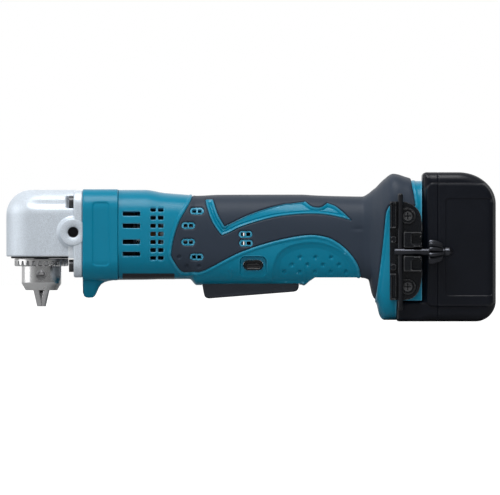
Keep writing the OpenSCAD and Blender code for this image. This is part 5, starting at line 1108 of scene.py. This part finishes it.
paddle_loop = np.vstack([smooth_line(paddle_edge[:4], 5), smooth_line(paddle_edge[4:], 5), paddle_top])
paddle = plate(paddle_loop, loop_sides(paddle_loop), bevelled(-TRIGGER_W / 2, TRIGGER_W / 2, 1.3, 6),
               across_tool)
piece("trigger_paddle", *paddle, "trigger", "dark_plastic", black_plastic, ["trigger"], sharp=32.0)
PIN_R, PIN_HALF, PIN_X, PIN_Z = 1.6, 11.4, 161.85, -30.5
pin_line = [(0.0, -PIN_HALF), (PIN_R - 0.2, -PIN_HALF), (PIN_R, 0.2 - PIN_HALF), (PIN_R, PIN_HALF - 0.2),
            (PIN_R - 0.2, PIN_HALF), (0.0, PIN_HALF)]
piece("trigger_pivot_pin", *turned(pin_line, 32, along_y(PIN_X, PIN_Z)), "body", "steel", black_steel,
      ["trigger_pin"], sharp=30.0)
bar_loop, bar_side = rounded_loop(BAR_L + 0.14, BAR_H + 0.14, BAR_H / 2 + 0.05, 16)
BAR_END = 21.98
pad_line = [(2.5, 0.05), (2.2, 0.0), (2.0, 0.08), (1.75, 0.5), (1.5, 0.55), (1.3, 0.45), (1.1, 0.12),
            (0.85, 0.0), (0.5, 0.08), (0.2, 0.32), (0.03, 0.7), (0.0, 1.2)]
bar_line = [(i, d - BAR_END) for i, d in pad_line] + [(i, BAR_END - d) for i, d in pad_line[::-1]]
button_plastic = finish("push_bar_plastic", (0.008, 0.008, 0.01), 0.2, grain=2200.0, bump=0.05, mottle=0.1,
                        shine=0.6)
piece("direction_key", *plate(bar_loop, bar_side, bar_line, along_y(BAR_X, BAR_Z - AXIS_Z)), "direction_bar",
      "dark_plastic", button_plastic, ["direction_bar"], sharp=60.0)

# The key holder. Moulded in black rubber and held to the foot by two sunk cross-slot screws: a rounded plate
# with a fin at each end, two pads with pockets that grip the key between their lips, and two small stops.
# The rubber's sharp edges get a strong painted highlight from the finish's edge lightening.
holder_rubber = finish("key_holder_rubber", (0.005, 0.006, 0.008), 0.22, grain=1800.0, bump=0.05, mottle=0.12,
                       edge=1.0, shine=0.3)
HOLDER_Y, HOLDER_BACK, HOLDER_X, HOLDER_LOW, HOLDER_TOP = 40.5, 34.0, 222.5, 4.03, 67.03
KEY_Y, KEY_Z = -45.3, 34.9
HOLDER_SCREWS = np.array([[234.0, 57.7], [234.0, 12.6]])
HOLDER_SCREW_R, HOLDER_BOSS_R, HOLDER_SINK = 3.7, 5.5, 1.4
BOSS_OUT, STOP_OUT, FIN_OUT, PAD_OUT, LIP_OUT, FIN_SINK, PAD_SINK = 0.9, 4.4, 6.6, 7.3, 1.0, 1.1, 3.4
STEP_AT = np.array([0.0, 0.2, 0.45, 0.9])
holder_corner = np.array([[232, HOLDER_LOW], [237.4, 5.6], [241.2, 10.4], [FOOT_END_X, 19.5],
                          [FOOT_END_X, 27.0], [FOOT_END_X, 44.9], [FOOT_END_X, 52.0], [241.6, 60.0],
                          [237.0, 64.9], [231.4, HOLDER_TOP]])
holder_line = np.vstack([[[HOLDER_X, HOLDER_LOW]], smooth_line(holder_corner), [[HOLDER_X, HOLDER_TOP]]])
holder_edge = lambda uv: outline_gap(*uv.T, holder_line)
boss_round = lambda uv: np.min([np.hypot(*(uv - mid).T) for mid in HOLDER_SCREWS], axis=0)
screw_boss = lambda uv: boss_round(uv) - HOLDER_BOSS_R
screw_well = lambda uv: boss_round(uv) - HOLDER_SCREW_R - 0.4


def like_boxes(mids, long_, tall, corner):
    """The distance from the nearest of several like boxes in the side view, as a function of place."""
    return lambda uv: nearest(*uv.T, mids, long_, tall, corner)


fins = like_boxes([(224.65, 58.4), (224.65, 12.65)], 4.3, 17.3, 0.4)
fin_pockets = like_boxes([(225.0, 58.2), (225.0, 12.45)], 2.4, 15.2, 0.3)
stops = like_boxes([(225.0, 42.7), (225.0, 25.0)], 4.0, 4.6, 1.6)
pads = like_boxes([(237.1, KEY_Z + 7.6), (237.1, KEY_Z - 7.6)], 12.0, 10.4, 1.2)
pad_pockets = like_boxes([(239.8, KEY_Z + 8.4), (239.8, KEY_Z - 8.4)], 7.0, 6.8, 1.4)
lips = like_boxes([(239.8, KEY_Z + 3.5), (239.8, KEY_Z - 3.5)], 4.6, 1.5, 0.5)


def risen(gap, height):
    """A step of a height inside an outline, steep at its foot and rounded at its top."""
    return np.interp(-gap, STEP_AT, [0, height - 0.45, height - 0.12, height])


def holder_out(uv):
    """How far the holder stands out from its plate: the plate's round edge, fins with sunk faces, stops,
    screw bosses with their counterbores, and pads with pockets and lips."""
    out = -np.interp(-holder_edge(uv), [0, 0.3, 0.9], [1.1, 0.35, 0])
    out = out + risen(screw_boss(uv), BOSS_OUT) - risen(screw_well(uv), BOSS_OUT + HOLDER_SINK)
    fin = risen(fins(uv), FIN_OUT) - risen(fin_pockets(uv), FIN_SINK)
    pad = risen(pads(uv), PAD_OUT) - risen(pad_pockets(uv), PAD_SINK)
    return np.max([out, risen(stops(uv), STOP_OUT), fin, pad], axis=0) + risen(lips(uv), LIP_OUT)


def raised(uv, faces, y, foot):
    """A height field over the side view, y at each point, with a wall down to foot round its edge."""
    top = columns(uv[:, 0], y, uv[:, 1])
    return used(np.vstack([top, top * [1, 0, 1] + [0, foot, 0]]),
                np.vstack([faces, edge_walls(faces, len(uv))]))


holder_grid = grid_triangles(np.linspace(HOLDER_X - 0.3, FOOT_END_X + 0.3, 44),
                             np.linspace(HOLDER_LOW - 0.4, HOLDER_TOP + 0.4, 120))
uv, faces, held = creases(holder_grid, [(holder_edge, (0.0, -0.3, -0.9))], 0.1)
faces = faces[holder_edge(uv[faces].mean(1)) < 0]
steps = (screw_boss, screw_well, stops, fins, fin_pockets, pads, pad_pockets, lips)
uv, faces, _ = creases((uv, faces, held), [(step, -STEP_AT) for step in steps], 0.08)
holder = raised(uv, faces[:, ::-1], -HOLDER_Y - holder_out(uv), -HOLDER_BACK)
piece("key_holder_moulding", *holder, "body", "holder_rubber", holder_rubber, ["key_holder"], sharp=34.0)
screw_zinc = finish("dull_zinc_screw", (0.11, 0.112, 0.118), 0.32, metal=0.7, grain=1500.0, bump=0.05,
                    mottle=0.15, edge=0.4)
CROWN_H, SCREW_TIP, SCREW_SEAT = 1.8, -26.5, HOLDER_SINK - HOLDER_Y
SLOT_L, SLOT_W = 4.4, 0.85
screw_heads = []
for mid in HOLDER_SCREWS:
    cross = lambda uv: np.minimum(rectangle_gap(*uv.T, *mid, SLOT_L, SLOT_W, 0.2),
                                  rectangle_gap(*uv.T, *mid, SLOT_W, SLOT_L, 0.2))
    rim_gap = lambda uv: np.hypot(*(uv - mid).T) - HOLDER_SCREW_R
    head_grid = grid_triangles(np.linspace(-4, 4, 25) + mid[0], np.linspace(-4, 4, 25) + mid[1])
    uv, faces, _ = creases(head_grid, [(rim_gap, (0.0, -0.4)), (cross, (0.0, -0.2))], 0.08)
    faces = faces[rim_gap(uv[faces].mean(1)) < 0]
    crown = CROWN_H - np.interp(-rim_gap(uv), [0, 0.4, HOLDER_SCREW_R], [0.9, 0.45, 0])
    crown = crown - np.interp(-cross(uv), [0, 0.2], [0, 1.1])
    screw_heads.append(raised(uv, faces[:, ::-1], SCREW_SEAT - crown, SCREW_SEAT))
    stem = [(0, SCREW_TIP), (2, SCREW_TIP), (2, SCREW_SEAT)]
    screw_heads.append(turned(stem, 24, along_y(mid[0], mid[1] - AXIS_Z)))
piece("holder_cross_screws", *together(*screw_heads), "body", "dark_steel", screw_zinc, ["holder_screws"],
      sharp=30.0)

# The chuck key. Blued steel: a round shaft, a bell of rounded teeth that turns the chuck's sleeve, a pilot
# with a cone, and a cross bar pressed through its end.
blued_steel = finish("blued_key_steel", (0.055, 0.058, 0.068), 0.36, metal=1.0, grain=1600.0, bump=0.02,
                     mottle=0.15, edge=0.3)
black_bar = finish("blackened_bar_steel", (0.012, 0.013, 0.016), 0.3, metal=0.3, grain=1600.0, bump=0.03,
                   mottle=0.2)
KEY_X, SHAFT_R, SHAFT_L, BELL_L, BELL_TEETH, PILOT_R, PILOT_L = 225.4, 2.3, 22.0, 8.9, 11, 2.9, 4.8
bell_a = np.arange(BELL_TEETH * 14) * 2 * np.pi / (BELL_TEETH * 14)
rib = np.abs(np.cos(bell_a * BELL_TEETH / 2)) ** 0.75
bell = [(SHAFT_R + 0.6, 0.5, 0.0), (6.0, 0.0, 0.9), (7.4, 0.1, 1.9), (7.9, 0.8, 2.2), (7.85, 2.2, 2.2),
        (7.35, 4.4, 2.0), (6.5, 6.6, 1.8), (5.6, 8.2, 1.5), (4.9, 8.8, 1.2), (3.6, BELL_L, 0.5)]
key_line = [(0.0, 0.0, 0.0), (SHAFT_R - 0.6, 0.0, 0.0), (SHAFT_R - 0.15, 0.2, 0.0), (SHAFT_R, 0.7, 0.0),
            (SHAFT_R, SHAFT_L, 0.0)]
key_line += [(r, SHAFT_L + x, cut) for r, x, cut in bell]
pilot = [(2.4, 0.2), (2.4, 1.0), (PILOT_R - 0.1, 1.5), (PILOT_R, 1.7), (PILOT_R, PILOT_L - 0.5),
         (PILOT_R - 0.5, PILOT_L), (1.4, PILOT_L + 1.0), (0.5, PILOT_L + 1.6), (0.0, PILOT_L + 1.7)]
key_line += [(r, SHAFT_L + BELL_L + x, 0.0) for r, x in pilot]
key_place = along_x(KEY_Y, KEY_Z - AXIS_Z)
bell_round = columns(np.cos(bell_a), np.sin(bell_a))
key_loops = [key_place(bell_round * (r - cut * (1 - rib))[:, None], KEY_X + x) for r, x, cut in key_line]
piece("chuck_key_forged", *rings(key_loops), "key", "dark_steel", blued_steel, ["chuck_key"], sharp=36.0)
CROSS_X, CROSS_R, CROSS_HALF = 229.25, 1.65, 37.2
end_line = [(0.0, 0.0), (0.9, 0.05), (1.35, 0.3), (1.62, 0.8), (1.7, 1.5), (CROSS_R, 2.6)]
cross_line = [(r, KEY_Z - CROSS_HALF + d) for r, d in end_line]
cross_line += [(r, KEY_Z + CROSS_HALF - d) for r, d in end_line[::-1]]
cross_place = lambda flat, z: along_z(flat, z) + [CROSS_X, KEY_Y, 0.0]
piece("key_cross_bar", *turned(cross_line, 40, cross_place), "key", "dark_steel", black_bar, ["key_bar"],
      sharp=40.0)

# The battery. Two moulded black cases screwed together over eight cells, with slide rails and a bare sunk
# panel on each raised side. A release button slides in a pocket under the lip.
# The case's sharp edges get a painted highlight from the finish's edge lightening.
battery_plastic = finish("battery_case_plastic", (0.0026, 0.0038, 0.0075), 0.36, grain=2600.0, bump=0.05,
                         mottle=0.12, edge=0.5, shine=0.28)
cell_sleeve = finish("cell_shrink_sleeve", (0.06, 0.25, 0.14), 0.35, bump=0.05, mottle=0.05)
BATTERY_X, BATTERY_END_X, BATTERY_LOW, BATTERY_TOP, SEAM_X = 243.5, 290.3, -9.5, 85.7, 253.3
CORE_HALF, FACE_LIFT, CASE_EDGE_R, LIP_HALF, LIP_EDGE_R = 35.4, 1.6, 6.0, 34.0, 2.4
HEEL_R, BACK_R, BACK_H = 13.0, 24.0, 20.2
SILL, BELT_EDGE, BELT_SCALE = 0.15, 0.955, 30.0
SEAM_GROOVE, HALF_FADE, EDGE_FADE = ((0.0, 0.3), (0.4, 0.0)), (238.0, 248.0), (240.0, 249.0)
RAISED_FACE, SUNK_PANEL = (267.6, 39.2, 44.6, 79.3, 5.2), (273.2, 37.9, 30.2, 62.5, 2.0)
FACE_SLOPE = (0.0, 0.25, 1.0, 1.5), (0.0, 0.1, 0.92, 1.0)


def arc(x, z, wide, tall, start, end, count):
    """Points along an arc in the side view, between two angles in degrees."""
    a = np.radians(np.linspace(start, end, count))
    return columns(x + wide * np.cos(a), z + tall * np.sin(a))


case_outline = np.vstack([
    arc(228.6, BATTERY_LOW + 1.5, 1.5, 1.5, 188, 270, 6),
    arc(BATTERY_END_X - HEEL_R, BATTERY_LOW + HEEL_R, HEEL_R, HEEL_R, -90, 0, 20),
    arc(BATTERY_END_X - BACK_R, BATTERY_TOP - BACK_H, BACK_R, BACK_H, 0, 90, 28),
    arc(BATTERY_X + 2.5, BATTERY_TOP - 2.5, 2.5, 2.5, 90, 180, 8),
    arc(BATTERY_X - 1.5, 5.1, 1.5, 1.5, 0, -90, 5), arc(227.8, 2.9, 0.7, 0.7, 90, 176, 5)])
outline_run = run_along(closed(case_outline))


def case_gap(uv):
    """Distance from the battery's outline in the side view, negative inside it."""
    return outline_gap(*uv.T, case_outline)


def face_gap(uv):
    """Distance from the edge of the raised face, negative inside it."""
    face = rectangle_gap(*uv.T, *RAISED_FACE)
    return np.maximum(face, case_gap(uv) + 0.9)


def panel_edge(uv):
    """Distance from the edge of the bare sunk panel, negative inside it."""
    return rectangle_gap(*uv.T, *SUNK_PANEL)


def side_height(uv):
    """How far the battery's side stands out from the middle plane, over the side view: a round edge that
    follows the outline, the raised face with its slope, the sunk panel and the groove of the seam."""
    x = uv[:, 0]
    half = mix(LIP_HALF, CORE_HALF, blend(x, *HALF_FADE))
    r = mix(LIP_EDGE_R, CASE_EDGE_R, blend(x, *EDGE_FADE))
    inside = np.clip(-case_gap(uv), 0, r)
    height = half - r + np.sqrt(np.maximum(r ** 2 - (r - inside) ** 2, 0))
    height += FACE_LIFT * np.interp(-face_gap(uv), *FACE_SLOPE)
    height -= np.interp(panel_edge(uv), [-0.5, 0], [0.45, 0])
    return height - np.interp(np.abs(x - SEAM_X), *SEAM_GROOVE)


case_grid = grid_triangles(np.linspace(BATTERY_X - 17, BATTERY_END_X + 0.5, 82),
                           np.linspace(BATTERY_LOW - 0.5, BATTERY_TOP + 0.5, 122))
uv, faces, held = creases(case_grid, [(case_gap, (-SILL, -0.5, -1.1, -2.0, -3.3))], 0.1)
faces = faces[case_gap(uv[faces].mean(1)) < -SILL]
from_seam = lambda uv: uv[:, 0] - SEAM_X
uv, faces, _ = creases((uv, faces, held), [(face_gap, (0.0, -0.25, -1.0, -1.5)), (panel_edge, (0.0, -0.5)),
                                           (lambda uv: np.abs(from_seam(uv)), (0.3,)), (from_seam, (0.0,))])
height = side_height(uv)
sides = [(columns(uv[:, 0], way * height, uv[:, 1]), faces[:, ::way]) for way in (1, -1)]

belt_s = in_order(np.round(outline_run, 4), np.round(np.linspace(0, outline_run[-1], 330), 4))
belt_at = columns(*at_run(belt_s, outline_run, closed(case_outline)))
belt_dir = np.roll(belt_at, -1, axis=0) - np.roll(belt_at, 1, axis=0)
belt_dir[[0, -1]] = belt_at[1] - belt_at[-2]
belt_out = columns(belt_dir[:, 1], -belt_dir[:, 0]) / np.linalg.norm(belt_dir, axis=1, keepdims=True)
belt_half = side_height(belt_at - belt_out * SILL) - 0.02
BATTERY_SCREW_Y, BATTERY_SCREW_DZ, BATTERY_SCREW_R, BATTERY_SCREW_X = 28.12, 41.4, 2.85, 267.3
screw_mids = [(y, (BATTERY_LOW + BATTERY_TOP) / 2 + z) for y in (-BATTERY_SCREW_Y, BATTERY_SCREW_Y)
              for z in (-BATTERY_SCREW_DZ, BATTERY_SCREW_DZ)]


def belt(uv):
    """The band round the battery between its two sides: u runs along the outline, v across the width."""
    x, z, ox, oz, half = at_run(uv[:, 0], belt_s, columns(*belt_at.T, *belt_out.T, belt_half))
    inset = np.interp(np.abs(uv[:, 1]), [BELT_EDGE, 1], [0, SILL])
    near_seam = np.interp(np.abs(x - SEAM_X), *SEAM_GROOVE)
    return columns(x - ox * (inset + near_seam), uv[:, 1] * half, z - oz * (inset + near_seam))


def back_screw_gap(uv):
    """Distance from the nearest of the four screw holes in the battery's back."""
    p = belt(uv)
    gap = np.min([np.hypot(p[:, 1] - y, p[:, 2] - z) for y, z in screw_mids], axis=0) - BATTERY_SCREW_R
    return np.where(p[:, 0] > SEAM_X + 5, gap, FAR) / BELT_SCALE


button_points, _ = solid_faces("release_button")
RELEASE_GAP, RELEASE_STROKE, RELEASE_ROOF = 0.4, 3.0, 2.0
release_low = button_points.min(0) - RELEASE_GAP
release_high = button_points.max(0) + [RELEASE_GAP + RELEASE_STROKE, RELEASE_GAP, 0]


def release_ends(uv):
    """Distance along x from the nearer end of the release button's opening, negative between its ends."""
    x = belt(uv)[:, 0]
    return np.maximum(release_low[0] - x, x - release_high[0])


def release_sides(uv):
    """Distance across the tool from the nearer side of the release button's opening."""
    return np.abs(belt(uv)[:, 1]) - release_high[1]


belt_v = in_order(np.linspace(-1, 1, 75), [-BELT_EDGE, BELT_EDGE])
belt_seam = lambda q: np.interp(q[:, 0], belt_s, belt_at[:, 0]) - SEAM_X
belt_grid = creases(grid_triangles(belt_s, belt_v), [(belt_seam, (-0.3, 0.0, 0.3))], 0.1)
uv, faces, held = crease(*belt_grid, back_screw_gap, 0.0, 0.0)
faces = faces[back_screw_gap(uv[faces].mean(1)) > 0]
uv, faces, _ = creases((uv, faces, held), [(release_ends, (0.0,)), (release_sides, (0.0,))], 0.0)
middle = uv[faces].mean(1)
opened = np.maximum(release_ends(middle), release_sides(middle)) < 0
faces = faces[~(opened & (belt(middle)[:, 2] < BATTERY_LOW + 1))]
case_points, case_faces = together(*sides, (belt(uv), faces))
case_faces = np.vstack(case_faces)
upper = case_points[case_faces].mean(1)[:, 0] < SEAM_X
rail_points, rail_faces = solid_faces("battery_upper_case")
middle = rail_points[rail_faces].mean(1)
RAIL_HALF, RAIL_LOW = 26.7, 3.7
rails = (middle[:, 0] < BATTERY_X - 0.05) & (np.abs(middle[:, 1]) < RAIL_HALF) & (middle[:, 2] > RAIL_LOW)
pocket_low = [*release_low[:2] - 0.05, BATTERY_LOW + 0.05]
pocket_high = [*release_high[:2] + 0.05, RELEASE_ROOF]
pocket = ((middle > pocket_low) & (middle < pocket_high)).all(1)
rail_faces = rail_faces[rails | pocket]
upper_case = together(used(case_points, case_faces[upper]), used(rail_points, rail_faces))
piece("battery_upper_shell", *upper_case, "battery", "battery_plastic", battery_plastic,
      ["battery_upper_case"], sharp=30.0)
piece("battery_lower_shell", *used(case_points, case_faces[~upper]), "battery", "battery_plastic",
      battery_plastic, ["battery_lower_case"], sharp=30.0)
TOP_WELL_X, LOW_WELL_X = 279.0, 285.4
for k, (y, z) in enumerate(screw_mids):
    well_end = TOP_WELL_X if z > AXIS_Z else LOW_WELL_X
    tube = turned([(BATTERY_SCREW_R, BATTERY_SCREW_X), (BATTERY_SCREW_R, well_end)], 32,
                  along_x(y, z - AXIS_Z))
    piece(f"screw_well_{k + 1}", *tube, "battery", "battery_plastic", battery_plastic).data.flip_normals()


def copied(solid, name, body, material, bevel, sharp=30.0):
    """A frame solid taken over with its loose triangles merged, its flat faces joined, its edges rounded."""
    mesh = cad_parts[solid].data.copy()
    mesh.name = name
    work = bmesh.new()
    work.from_mesh(mesh)
    bmesh.ops.remove_doubles(work, verts=work.verts, dist=0.004 * MM)
    bmesh.ops.dissolve_limit(work, angle_limit=math.radians(1.0), verts=work.verts, edges=work.edges)
    work.to_mesh(mesh)
    work.free()
    mesh.materials.clear()
    mesh.materials.append(material)
    mesh.shade_smooth()
    mesh.set_sharp_from_angle(angle=math.radians(sharp))
    made = bpy.data.objects.new(name, mesh)
    scene.collection.objects.link(made)
    round_off = made.modifiers.new("round_off", "BEVEL")
    round_off.width = bevel * MM
    round_off.segments = 2
    round_off.limit_method = "ANGLE"
    round_off.angle_limit = math.radians(sharp)
    round_off.harden_normals = True
    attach(made, body)
    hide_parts(solid)


copied("release_button", "release_key", "release", black_plastic, 0.5)
dress(cell_sleeve, "battery_cells")
